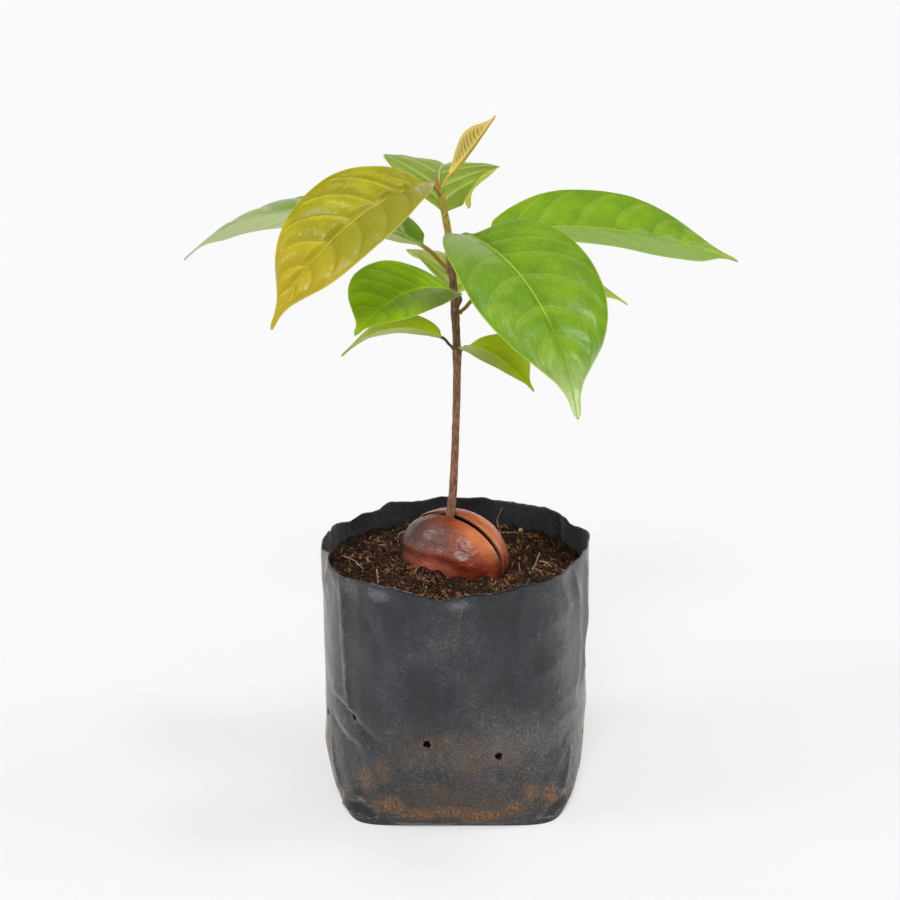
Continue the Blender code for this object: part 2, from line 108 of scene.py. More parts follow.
# Drain holes, punched through both layers of the flat tube: angle and height.
HOLES = [(sign * angle, height) for angle, height in
         [(-167, 38), (-141, 47), (-102, 44), (-71, 37), (-9, 26)] for sign in (1, -1)]
HOLE_RADIUS = 1.65
# Rust-coloured soil dried on the film: angle, height, how wide, how tall, how much.
STAINS = [
    (-90, 8, 46, 5, 0.62), (-118, 11, 9, 5, 0.95), (-106, 7.5, 11, 4, 1.15), (-92, 9, 12, 5, 1.0),
    (-79, 6.5, 12, 4.5, 1.2), (-64, 10, 8, 4, 0.9), (-56, 15, 6, 6, 0.8), (-46, 12, 6, 6, 0.9),
    (-36, 7, 8, 6, 0.7), (-131, 20, 7, 8, 0.7), (-122, 27, 6, 8, 0.55), (-84, 33, 9, 9, 0.55),
    (-84, 42, 34, 16, 0.42), (-88, 14, 32, 9, 0.48), (-95, 46, 9, 5, 0.6), (-90, 20, 34, 9, 0.42),
    (-110, 36, 12, 9, 0.4), (-62, 31, 12, 10, 0.35), (-142, 9, 7, 8, 0.45), (-165, 20, 9, 16, 0.5),
    (-14, 18, 8, 12, 0.5), (-8, 45, 5, 12, 0.4), (20, 9, 10, 4, 0.8), (62, 7, 12, 4, 0.9),
    (96, 9, 12, 5, 0.9), (120, 6, 10, 4, 0.8), (90, 8, 50, 5, 0.55), (164, 10, 9, 6, 0.7),
    (80, 30, 9, 9, 0.45), (150, 26, 8, 10, 0.35),
]
# Dust rubbed on the film, and painted sheen, in the same terms. The tube's two flat sides have the most,
# partly as painted sheen, and the small patches just under the rim are painted glare.
DUST_AND_SHEEN = [
    (-160, 75, 15, 60, 0.9), (-174, 60, 14, 70, 0.45), (-12, 75, 11, 60, 1.35), (3, 60, 12, 70, 0.45),
    (-29, 70, 8, 60, 0.35), (-100, 91, 16, 14, 0.2), (-80, 72, 18, 14, 0.25), (-42, 96, 9, 16, 0.25),
    (-92, 40, 24, 16, 0.45), (-66, 44, 22, 18, 0.4), (-120, 58, 14, 26, 0.15), (90, 70, 30, 30, 0.4),
    (45, 40, 18, 26, 0.4), (140, 80, 16, 30, 0.4), (-124, 113.5, 5, 2.5, 1.0), (-89, 113, 5, 2.5, 1.2),
    (-53, 111, 7, 5, 0.25), (-140, 112, 5, 4, 0.5), (-20, 78, 9, 60, 1.0), (-36, 78, 9, 50, 0.45),
]


def clouds(spots, size, seed):
    """Smooth random values from -1 to 1 at points in space, in lumps about `size` across."""
    spots = np.asarray(spots, float) / size + seed * 17.31
    cell = np.floor(spots)
    part = spots - cell
    part = part * part * (3 - 2 * part)
    total = 0.0
    for corner in np.ndindex(2, 2, 2):
        mixed = np.sin((cell + corner) @ np.array([12.9898, 78.233, 37.719])) * 43758.5453
        share = np.prod(np.where(np.array(corner) == 1, part, 1 - part), axis=-1)
        total = total + (2 * (mixed - np.floor(mixed)) - 1) * share
    return total


def line_distance(x, y, path):
    """How far points lie from a broken line, and how far along it the nearest place is, from 0 to 1."""
    nearest = np.full(np.shape(x), 1e9)
    along = np.zeros(np.shape(x))
    count = len(path) - 1
    for i in range(count):
        (ax, ay), (bx, by) = path[i], path[i + 1]
        size = max((bx - ax) ** 2 + (by - ay) ** 2, 1e-9)
        share = np.clip(((x - ax) * (bx - ax) + (y - ay) * (by - ay)) / size, 0, 1)
        off = np.hypot(x - ax - share * (bx - ax), y - ay - share * (by - ay))
        along = np.where(off < nearest, (i + share) / count, along)
        nearest = np.minimum(off, nearest)
    return nearest, along


def smooth(value, low, high):
    """From 0 to 1 as a value goes from low to high, eased at both ends."""
    share = np.clip((value - low) / (high - low), 0, 1)
    return share * share * (3 - 2 * share)


def angle_off(angles, centre):
    """Signed degrees from a centre, the short way round."""
    return (angles - centre + 180) % 360 - 180


def rim_height(angles):
    """The height of the hand-cut rim, with the ragged edge that the blade left."""
    start = RIM[0][0]
    turned = (angles - start) % 360 + start
    around = np.stack([np.cos(np.radians(angles)), np.sin(np.radians(angles)), 0 * angles], axis=-1)
    around = around * BAG_GIRTH_RADIUS
    ragged = 0.35 * clouds(around, 3.2, 5) + 0.2 * clouds(around, 1.3, 7)
    return np.interp(turned, *zip(*RIM)) + ragged


def laid_flat(angles, path):
    """Angles, and a path's corners, in millimetres along the film from the path's first corner."""
    first = path[0][0]
    line = [(angle_off(angle, first) * MM_PER_DEGREE, height) for angle, height in path]
    return angle_off(angles, first) * MM_PER_DEGREE, line


def hole_distance(angles, heights, hole):
    """How far places on the film lie from the middle of a drain hole."""
    return np.hypot(angle_off(angles, hole[0]) * MM_PER_DEGREE, heights - hole[1])


def film_relief(angles, heights):
    """How far the film stands out from the plain tube, and how much of that is a crease or a tuck."""
    turned = np.radians(angles)
    spots = np.stack([
        BAG_GIRTH_RADIUS * np.cos(turned), BAG_GIRTH_RADIUS * np.sin(turned), heights,
    ], axis=-1)
    # lumps of soil behind the film, and upright ripples towards the top, where it is slack
    out = 0.7 * clouds(spots, 24, 1) + 0.30 * clouds(spots, 9, 2) + 0.08 * clouds(spots, 3.5, 3)
    out += 0.45 * clouds(spots * np.array([1, 1, 0.22]), 6, 4) * smooth(heights, 40, 100)
    folds = np.zeros(np.shape(heights))
    for lift, spread, path in CREASES:
        x, line = laid_flat(angles, path)
        off, along = line_distance(x, heights, line)
        ease = smooth(along, -0.02, 0.1) * smooth(1 - along, -0.02, 0.3)
        out += 2.1 * lift * ease * np.exp(-off / spread)
        folds += np.sign(lift) * min(abs(lift), 1) * ease * np.exp(-off / 0.7)
    # each tucked corner is a raised edge round a hollow
    for edge in EARS:
        x, line = laid_flat(angles, edge)
        off, _ = line_distance(x, heights, line)
        upper = heights > np.interp(x, *zip(*sorted(line)))
        out += 1.1 * np.exp(-off / 0.8) * np.where(upper, 1.0, 0.5)
        folds += 0.9 * np.exp(-off / 0.5)
        middle = np.mean(line[:-1], axis=0)
        off = np.hypot((x - middle[0]) / 8.0, (heights - middle[1]) / 2.8)
        out -= 1.7 * np.exp(-(off**2))
        folds -= 1.3 * np.exp(-(off**4))
    # the free edge waves in and out, and the film is dented round each hole
    flare = 1.3 * np.sin(np.radians(angles * 7 + 40)) + 0.9 * np.sin(np.radians(angles * 13 - 70))
    out += flare * np.exp(-((rim_height(angles) - heights) / 8.0))
    for hole in HOLES:
        out -= 0.5 * np.exp(-((hole_distance(angles, heights, hole) / 2.6) ** 2))
    return out * smooth(heights, -0.5, 2.0), folds


def bag_points(angles, heights, inset):
    """Points of the bag's wall, moved in from its outside by inset."""
    heights = heights + 0.0 * angles
    stations, wide, deep, shift, square = zip(*BAG_PROFILE)
    power = np.interp(heights, stations, square)
    c, s = np.cos(np.radians(angles)), np.sin(np.radians(angles))
    reach = 1 / (np.abs(c) ** power + np.abs(s) ** power) ** (1 / power)
    out = film_relief(angles, heights)[0] - inset
    x = (np.interp(heights, stations, wide) + out) * reach * c
    y = (np.interp(heights, stations, deep) + out) * reach * s + np.interp(heights, stations, shift)
    return np.stack([x, y, heights], axis=-1)


def mesh_piece(name, points, faces, numbers=(), vectors=()):
    """An object from points in millimetres, smooth shaded, with values stored at its points."""
    mesh = bpy.data.meshes.new(name)
    mesh.from_pydata((np.asarray(points, float) * MM).tolist(), [], faces)
    mesh.shade_smooth()
    for label, values in dict(numbers).items():
        mesh.attributes.new(label, "FLOAT", "POINT").data.foreach_set("value", np.ravel(values))
    for label, values in dict(vectors).items():
        mesh.attributes.new(label, "FLOAT_VECTOR", "POINT").data.foreach_set("vector", np.ravel(values))
    made = bpy.data.objects.new(name, mesh)
    bpy.context.scene.collection.objects.link(made)
    return made


def joined_rings(rings):
    """Points and faces of rings joined in order, with both ends closed to their centres."""
    rings = np.asarray(rings, float)
    rows, count = rings.shape[:2]
    here = np.arange(count)
    after = np.roll(here, -1)
    faces = []
    for i in range(rows - 1):
        low, high = i * count, (i + 1) * count
        faces += np.stack([low + here, low + after, high + after, high + here], axis=1).tolist()
    start, end = rows * count, rows * count + 1
    last = (rows - 1) * count
    faces += [(start, int(b), int(a)) for a, b in zip(here, after)]
    faces += [(end, int(last + a), int(last + b)) for a, b in zip(here, after)]
    points = np.concatenate([rings.reshape(-1, 3), [rings[0].mean(0), rings[-1].mean(0)]])
    return points, faces


def at_ends(values, rows, count):
    """Per-point values with one more for each end's centre."""
    values = np.asarray(values, float).reshape(rows * count, -1)
    both = [values[:count].mean(0), values[-count:].mean(0)]
    return np.concatenate([values, both]).squeeze()


def plain_mesh(piece):
    """What a piece's modifiers make of it, as a mesh of its own."""
    bpy.context.view_layer.update()
    return bpy.data.meshes.new_from_object(piece.evaluated_get(bpy.context.evaluated_depsgraph_get()))


def feed(tree, node, sockets):
    """Sets a node's sockets, or joins them to other nodes' outputs."""
    for label, value in sockets.items():
        if isinstance(value, bpy.types.NodeSocket):
            tree.links.new(value, node.inputs[label])
        else:
            node.inputs[label].default_value = value


def add(tree, kind, sockets=None, **settings):
    """One node, with its settings and what goes into its sockets."""
    made = tree.nodes.new(kind)
    for label, value in settings.items():
        setattr(made, label, value)
    feed(tree, made, sockets or {})
    return made


def calc(tree, operation, first, *others, clamp=False):
    """Numbers worked together in turn, as in a + b + c. clamp keeps the result from 0 to 1."""
    for other in others or (0.0,):
        made = add(tree, "ShaderNodeMath", {0: first, 1: other}, operation=operation)
        first = made.outputs[0]
    made.use_clamp = clamp
    return first


def times(tree, *values, clamp=False):
    """Numbers multiplied together."""
    return calc(tree, "MULTIPLY", *values, clamp=clamp)


def plus(tree, *values, clamp=False):
    """Numbers added together."""
    return calc(tree, "ADD", *values, clamp=clamp)


def minus(tree, first, second):
    """One number less another."""
    return calc(tree, "SUBTRACT", first, second)


def blend(tree, share, first, second, way="MIX"):
    """Two colours mixed by a share, each a colour or another node's output."""
    first, second = ((*c, 1.0) if isinstance(c, tuple) else c for c in (first, second))
    made = add(tree, "ShaderNodeMix", data_type="RGBA", blend_type=way)
    feed(tree, made, {0: share, 6: first, 7: second})
    return made.outputs[2]


def fade(tree, value, low, high, bottom=0.0, top=1.0):
    """A value eased from bottom to top as it goes from low to high."""
    return add(tree, "ShaderNodeMapRange", {
        0: value, 1: low, 2: high, 3: bottom, 4: top,
    }, interpolation_type="SMOOTHSTEP").outputs[0]


def calc_vector(tree, operation, vector, by):
    """A vector added to, multiplied or divided by another, part by part."""
    return add(tree, "ShaderNodeVectorMath", {0: vector, 1: by}, operation=operation).outputs[0]


def split(tree, vector):
    """A vector's three numbers."""
    return add(tree, "ShaderNodeSeparateXYZ", {0: vector}).outputs


def mottle(tree, place, scale, detail=3.0, rough=0.55, stretch=None):
    """Noise from 0 to 1. scale is in lumps for each metre, and stretch squeezes it along an axis."""
    if stretch:
        place = calc_vector(tree, "MULTIPLY", place, stretch)
    return add(tree, "ShaderNodeTexNoise", {
        "Vector": place, "Scale": scale, "Detail": detail, "Roughness": rough,
    }).outputs[0]


def stored(tree, label, kind="Fac"):
    """A value that was stored at a mesh's points, as a number or, with "Vector", as three."""
    return add(tree, "ShaderNodeAttribute", attribute_name=label).outputs[kind]


def new_material(label):
    """A material, its tree, its Principled shader and its Object coordinates."""
    made = bpy.data.materials.new(label)
    made.use_nodes = True
    tree = made.node_tree
    place = add(tree, "ShaderNodeTexCoord").outputs["Object"]
    return made, tree, tree.nodes["Principled BSDF"], place


def bumped(tree, shader, height, distance, strength=1.0):
    """Puts fine relief on a shader, distance high in metres where height is 1."""
    made = add(tree, "ShaderNodeBump", {"Height": height, "Distance": distance, "Strength": strength})
    feed(tree, shader, {"Normal": made.outputs[0]})


def turned(tree, place, angle):
    """Coordinates turned about Y, so that a stretched pattern runs aslant."""
    return add(tree, "ShaderNodeVectorRotate", {
        "Vector": place, "Angle": math.radians(angle),
    }, rotation_type="Y_AXIS").outputs[0]


def film_material():
    """Black film: two tones of black under dust, scratches, sand and dried soil, and painted sheen and
    shade.
    """
    made, tree, shader, place = new_material("black_film")
    lumps = mottle(tree, place, 45, 6, 0.62)
    drifts = mottle(tree, place, 170, 6, 0.75)
    grain = mottle(tree, place, 1300, 4, 0.85)
    specks = mottle(tree, place, 650, 2, 0.5)
    dust_and_sheen, rust, inner, fold = (stored(tree, label) for label in ("dust_and_sheen", "rust", "inner", "fold"))
    uneven = minus(tree, drifts, 0.5)
    low = fade(tree, split(tree, place)[2], 0.060, 0.025)
    colour = blend(tree, fade(tree, lumps, 0.35, 0.65), (0.008, 0.010, 0.015), (0.018, 0.021, 0.028))

    # dry dust: grains that lie thicker where the film was handled or faces the sky, under a pale haze that
    # is partly painted sheen
    dust = times(tree, dust_and_sheen, fade(tree, lumps, 0.30, 0.70, 0.6, 1.1))
    dust = plus(tree, dust, times(tree, uneven, 0.5), fade(tree, fold, 0.1, 1.0, 0.0, 0.5), clamp=True)
    # painted sheen on the flat sides and painted glare under the rim, where dust and sheen run highest
    haze_and_sheen = plus(tree, times(tree, dust, dust, 0.24), fade(tree, dust_and_sheen, 1.1, 1.6, 0.0, 0.25))
    colour = blend(tree, haze_and_sheen, colour, (0.25, 0.25, 0.25))
    grains = plus(tree, grain, times(tree, dust, 0.16))
    grains = times(tree, fade(tree, grains, 0.54, 0.74), fade(tree, dust, 0.1, 0.7, 0.12, 1.0))
    dry = blend(tree, low, (0.31, 0.31, 0.315), (0.36, 0.32, 0.24))
    colour = blend(tree, times(tree, grains, 0.30), colour, dry)
    # painted highlight along the crease ridges and tuck edges, where dust also wears
    colour = blend(tree, fade(tree, fold, 0.25, 0.9, 0.0, 0.42), colour, (0.33, 0.33, 0.34))

    # hair scratches, each lot aslant its own way
    marks = 0.0
    for slant, coarse in ((24, 1500), (-38, 1300), (78, 1700)):
        stroke = mottle(tree, turned(tree, place, slant), coarse, 2, 0.5, (0.09, 0.4, 1.0))
        marks = calc(tree, "MAXIMUM", fade(tree, stroke, 0.64, 0.71), marks)
    marks = times(tree, marks, fade(tree, dust, 0.15, 0.7, 0.1, 1.0), 0.24)
    colour = blend(tree, marks, colour, (0.42, 0.415, 0.39))

    # pale flecks, dots of dry soil and sand thrown up from the ground
    flecks = times(tree, fade(tree, specks, 0.72, 0.77), dust_and_sheen, 0.9, clamp=True)
    colour = blend(tree, flecks, colour, (0.42, 0.40, 0.33))
    dots = fade(tree, mottle(tree, place, 900, 2, 0.7), 0.66, 0.76)
    dots = times(tree, dots, plus(tree, fade(tree, dust, 0.15, 0.7, 0.1, 0.6), low, clamp=True), 0.6)
    colour = blend(tree, dots, colour, (0.42, 0.38, 0.31))
    sand = times(tree, fade(tree, mottle(tree, place, 1300, 2, 0.7), 0.54, 0.70), low, 0.30)
    colour = blend(tree, sand, colour, (0.42, 0.36, 0.27))
    # painted shade: the hollows of the tucked corners and of inward creases are darkened to near black
    colour = blend(tree, fade(tree, fold, -0.1, -1.0, 0.0, 0.8), colour, (0.010, 0.010, 0.010))

    # soil dried on: a thin brown haze, with grains of rusty earth in it
    grit = mottle(tree, place, 900, 5, 0.85)
    patchy = plus(tree, rust, times(tree, uneven, 1.2))
    patchy = times(tree, patchy, fade(tree, rust, 0.05, 0.35), fade(tree, fold, -1.0, -0.2, 0.4, 1.0))
    colour = blend(tree, times(tree, patchy, 0.55, clamp=True), colour, (0.135, 0.085, 0.050))
    soil = plus(tree, grit, times(tree, patchy, 0.32))
    soil = times(tree, fade(tree, soil, 0.62, 0.86), fade(tree, rust, 0.03, 0.2))
    rusty = fade(tree, mottle(tree, place, 850, 3, 0.7), 0.40, 0.62)
    earth = blend(tree, rusty, (0.11, 0.048, 0.022), (0.44, 0.22, 0.088))
    colour = blend(tree, times(tree, soil, 0.85), colour, earth)

    # the inside of the film, seen over the soil
    lining = blend(tree, fade(tree, specks, 0.60, 0.70, 0, 0.6), (0.050, 0.055, 0.063), (0.17, 0.13, 0.10))
    colour = blend(tree, inner, colour, lining)
    dull = plus(
        tree, times(tree, dust, 0.16), times(tree, soil, 0.5), times(tree, grains, 0.2),
        fade(tree, fold, -0.1, -1.0, 0.0, 0.35),
    )
    gloss = plus(tree, fade(tree, lumps, 0.3, 0.7, 0.22, 0.34), dull, clamp=True)
    feed(tree, shader, {
        "Base Color": colour, "Roughness": gloss, "Specular IOR Level": 0.5,
        "Sheen Weight": 0.45, "Sheen Roughness": 0.3, "Sheen Tint": (1.0, 0.93, 0.84, 1.0),
    })
    relief = plus(
        tree, times(tree, mottle(tree, place, 1100, 1), 0.15), times(tree, soil, 0.5),
        times(tree, mottle(tree, place, 130, 1), 2.6),
    )
    bumped(tree, shader, relief, 0.00022)
    return made


def patch(angles, heights, angle, height, wide, tall):
    """From 1 in the middle of an oval patch on the film to 0 well outside it."""
    off = np.hypot(angle_off(angles, angle) / wide, (heights - height) / tall)
    return np.exp(-off * off)


# The wall goes up its outside in level rows and then rows that fit themselves to the rim, turns
# over, and comes down its inside.
BAG_AROUND = 360
LEVEL_TOP = 100
RIM_ROWS = 14
angle_row = np.arange(BAG_AROUND) * 360 / BAG_AROUND
to_rim = rim_height(angle_row) - LEVEL_TOP
outer = [0, 0.5, 1, 1.5, 2, 2.6, 3.3, 4, *np.linspace(5, LEVEL_TOP, 72)]
outer += [LEVEL_TOP + to_rim * share for share in np.linspace(0, 1, RIM_ROWS)[1:]]
inner = [LEVEL_TOP + to_rim * share for share in np.linspace(1, 0, RIM_ROWS)[:-1]]
inner += [*np.linspace(98.7, 5, 72), 4, 2.6, 1.5, 0.5]
rings = np.array(
    [bag_points(angle_row, level, 0) for level in outer]
    + [bag_points(angle_row, level, FILM_WALL) for level in inner]
)
inside = np.repeat([0.0] * len(outer) + [1.0] * len(inner), BAG_AROUND)
angles = np.broadcast_to(angle_row, rings.shape[:2])
heights = rings[..., 2]
rust = np.zeros(heights.shape)
for *spot, much in STAINS:
    rust = np.maximum(rust, much * patch(angles, heights, *spot))
for hole in HOLES:
    off = hole_distance(angles, heights, hole)
    rust = np.maximum(rust, 0.8 * np.exp(-(((off - 1.8) / 2.2) ** 2)))
dust_and_sheen = 0.17 + 0.24 * smooth(clouds(rings, 32, 6), -0.2, 0.8)
for *spot, much in DUST_AND_SHEEN:
    dust_and_sheen = dust_and_sheen + much * patch(angles, heights, *spot)
points, faces = joined_rings(rings)
stored_values = {"rust": rust, "dust_and_sheen": dust_and_sheen, "fold": film_relief(angles, heights)[1], "inner": inside}
bag = mesh_piece("nursery_bag", points, faces, {
    label: at_ends(values, *heights.shape) for label, values in stored_values.items()
})
bag.data.materials.append(film_material())

PUNCH_SIDES = 16
PUNCH_REACH = 2.5
for number, (angle, height) in enumerate(HOLES):
    turns = np.arange(PUNCH_SIDES) * ROUND / PUNCH_SIDES
    ragged = 1 + 0.10 * np.sin(3 * turns + number) + 0.08 * np.sin(5 * turns + 2 * number)
    ragged = HOLE_RADIUS * ragged
    out = np.array([math.cos(math.radians(angle)), math.sin(math.radians(angle)), 0])
    flat = np.array([-out[1], out[0], 0])
    centre = bag_points(np.array([float(angle)]), height, 0)[0]
    ring = centre + np.outer(ragged * np.cos(turns), flat) + np.outer(ragged * np.sin(turns), [0, 0, 1])
    punch = mesh_piece("punch", *joined_rings([ring - PUNCH_REACH * out, ring + PUNCH_REACH * out]))
    cut = bag.modifiers.new("punched", "BOOLEAN")
    cut.object = punch
    cut.solver = "MANIFOLD"
    punch.hide_render = True
    punched = plain_mesh(bag)
    bag.modifiers.clear()
    bag.data = punched
    bpy.data.objects.remove(punch)
bag.data.name = "nursery_bag"
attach(bag, "root")
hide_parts("grow_bag")

# ---- Nut ----
# The sown kola nut, split lengthwise into its two cotyledons, which the shoot has pushed apart.
# Their mahogany skin is moist and glossy, rougher on top under a painted greyish sheen, and stands as a
# thin lip round the dark split. Both lie half buried in the soil, with the stem rising between them.

NUT_CENTRE = np.array([0.3, 8.2, 108.7])
NUT_HALF = np.array([26.8, 18.1, 20.0])
# The split's width at the nut's middle, and what it gains from there to the nut's right end.
NUT_GAP = (4.4, -1.9)
# The nut's turns about Z, Y and X, in degrees.
NUT_TURN = (-36.0, 2.5, 7.0)
# Two lines along the front half's outside, a hollow under a ridge: how far each stands out in
# millimetres, and how wide it is and where it runs in shares of the nut's half sizes.
FRONT_LINES = [
    (-0.55, 0.12, [(-0.80, 0.16), (-0.45, 0.19), (0.0, 0.24), (0.34, 0.25), (0.6, 0.12), (0.85, -0.14)]),
    (0.5, 0.10, [(-0.67, 0.34), (-0.3, 0.42), (0.02, 0.46), (0.4, 0.44), (0.7, 0.26)]),
]
# Rings of the split face, from the rim inwards: how far out, how far back, how much flesh, how much
# of the skin's lip.
SPLIT_FACE = [
    (0.997, -0.012, 0.0, 1.0), (0.990, -0.020, 0.0, 1.0), (0.980, -0.014, 0.0, 1.0),
    (0.975, 0.03, 0.9, 0.3), (0.968, 0.045, 1.0, 0.0), (0.958, 0.045, 1.0, 0.0),
    (0.950, 0.012, 0.1, 1.0), (0.915, 0.014, 0.2, 1.0), (0.90, 0.05, 1.0, 0.0),
    (0.80, 0.12, 1.0, 0.0), (0.6, 0.15, 1.0, 0.0), (0.35, 0.17, 1.0, 0.0), (0.1, 0.18, 1.0, 0.0),
]
NUT_AROUND = 150
DOME_ROWS = 56
# The stem's centreline: height, x, y, radius.
STEM = [
    (18, 3.0, 4.0, 0.6), (35, 2.0, 6.0, 1.1), (52, 0.4, 8.6, 1.5), (68, -0.9, 11.0, 1.8),
    (84, -1.8, 11.8, 2.0), (98, -2.4, 10.8, 2.1), (112, -2.5, 9.2, 2.1), (126, -2.3, 8.0, 2.1),
    (140, -0.9, 8.0, 1.9), (160, 0.0, 8.0, 1.75), (184, 0.7, 8.0, 1.75), (200, 0.9, 8.0, 1.8),
    (206.5, 0.9, 8.0, 2.15), (211, 0.7, 8.0, 1.85), (221, 0.3, 8.0, 1.8), (226, 0.0, 8.0, 2.1),
    (231, -0.3, 8.0, 1.8), (242, -1.1, 8.0, 1.7), (249, -1.9, 8.0, 2.0), (255, -2.4, 8.0, 1.65),
    (264, -3.2, 8.0, 1.6), (268, -3.9, 8.0, 1.7), (274, -5.0, 8.0, 1.5), (279, -5.9, 8.0, 1.6),
    (281.6, -6.3, 8.0, 1.1),
]


def stem_at(heights):
    """The stem's x, y and radius at some heights."""
    columns = list(zip(*STEM))
    return [np.interp(heights, columns[0], columns[i]) for i in (1, 2, 3)]


def nut_axes():
    """The nut's own axes as columns: along it, across its split, and up in the split."""
    yaw, pitch, roll = (math.radians(v) for v in NUT_TURN)
    about_z = [[math.cos(yaw), -math.sin(yaw), 0], [math.sin(yaw), math.cos(yaw), 0], [0, 0, 1]]
    about_y = [[math.cos(pitch), 0, math.sin(pitch)], [0, 1, 0], [-math.sin(pitch), 0, math.cos(pitch)]]
    about_x = [[1, 0, 0], [0, math.cos(roll), -math.sin(roll)], [0, math.sin(roll), math.cos(roll)]]
    return np.array(about_z) @ np.array(about_y) @ np.array(about_x)


def nut_half(name, side):
    """One cotyledon: its dome, the lip of its skin, and its flesh set back inside the split."""
    turns = np.arange(NUT_AROUND) * ROUND / NUT_AROUND
    lifts = np.linspace(math.pi / 2 - 0.03, 0, DOME_ROWS)
    rows = [(math.cos(lift), math.sin(lift), 0.0, 0.0) for lift in lifts] + SPLIT_FACE
    rings, place, flesh, lip = [], [], [], []
    for flat, deep, is_flesh, is_lip in rows:
        shape = np.stack([
            flat * np.cos(turns), np.full(NUT_AROUND, deep), flat * np.sin(turns),
        ], axis=-1)
        local = shape * NUT_HALF
        gap = (NUT_GAP[0] + NUT_GAP[1] * shape[:, 0]) / 2
        way = shape / np.linalg.norm(shape, axis=1)[:, None]
        rise = 0.5 * clouds(local, 11, 10 + side) + 0.26 * clouds(local, 4.2, 12)
        rise += 0.10 * clouds(local * [0.5, 1, 1], 1.3, 13)
        for lift, wide, path in FRONT_LINES if side < 0 else []:
            off, _ = line_distance(shape[:, 0], shape[:, 2], path)
            rise += lift * np.exp(-((off / wide) ** 2)) * smooth(deep, 0.3, 0.6)
        rise = rise * (0.4 + 0.6 * smooth(deep, 0.0, 0.25)) - is_flesh * 0.4 * clouds(local, 2.4, 14)
        local = local + way * (rise * (1 - is_flesh + 0.3))[:, None]
        local[:, 1] = side * (local[:, 1] + gap)
        ring = local @ nut_axes().T + NUT_CENTRE
        # the shoot between the halves has pushed their flesh aside
        x, y, radius = stem_at(ring[:, 2])
        off = ring[:, :2] - np.stack([x, y], axis=1)
        far = np.linalg.norm(off, axis=1)
        room = radius + 0.3
        push = np.where(far < room, room / np.maximum(far, 0.05), 1.0)
        ring[:, :2] = np.stack([x, y], axis=1) + off * push[:, None]
        rings.append(ring)
        place.append(shape * [1, side, 1])
        flesh.append(np.full(NUT_AROUND, is_flesh))
        lip.append(np.full(NUT_AROUND, is_lip))
    if side < 0:
        rings, place = [r[::-1] for r in rings], [p[::-1] for p in place]
    size = (len(rows), NUT_AROUND)
    return mesh_piece(
        name, *joined_rings(rings), {"flesh": at_ends(flesh, *size), "lip": at_ends(lip, *size)},
        {"nut_place": at_ends(place, *size)},
    )


def near(tree, place, centre, size):
    """A mask round a place on a piece, from 1 at its centre to 0 at its size."""
    off = calc_vector(tree, "DIVIDE", calc_vector(tree, "SUBTRACT", place, centre), size)
    off = add(tree, "ShaderNodeVectorMath", {0: off}, operation="LENGTH").outputs["Value"]
    return fade(tree, off, 1.0, 0.25)


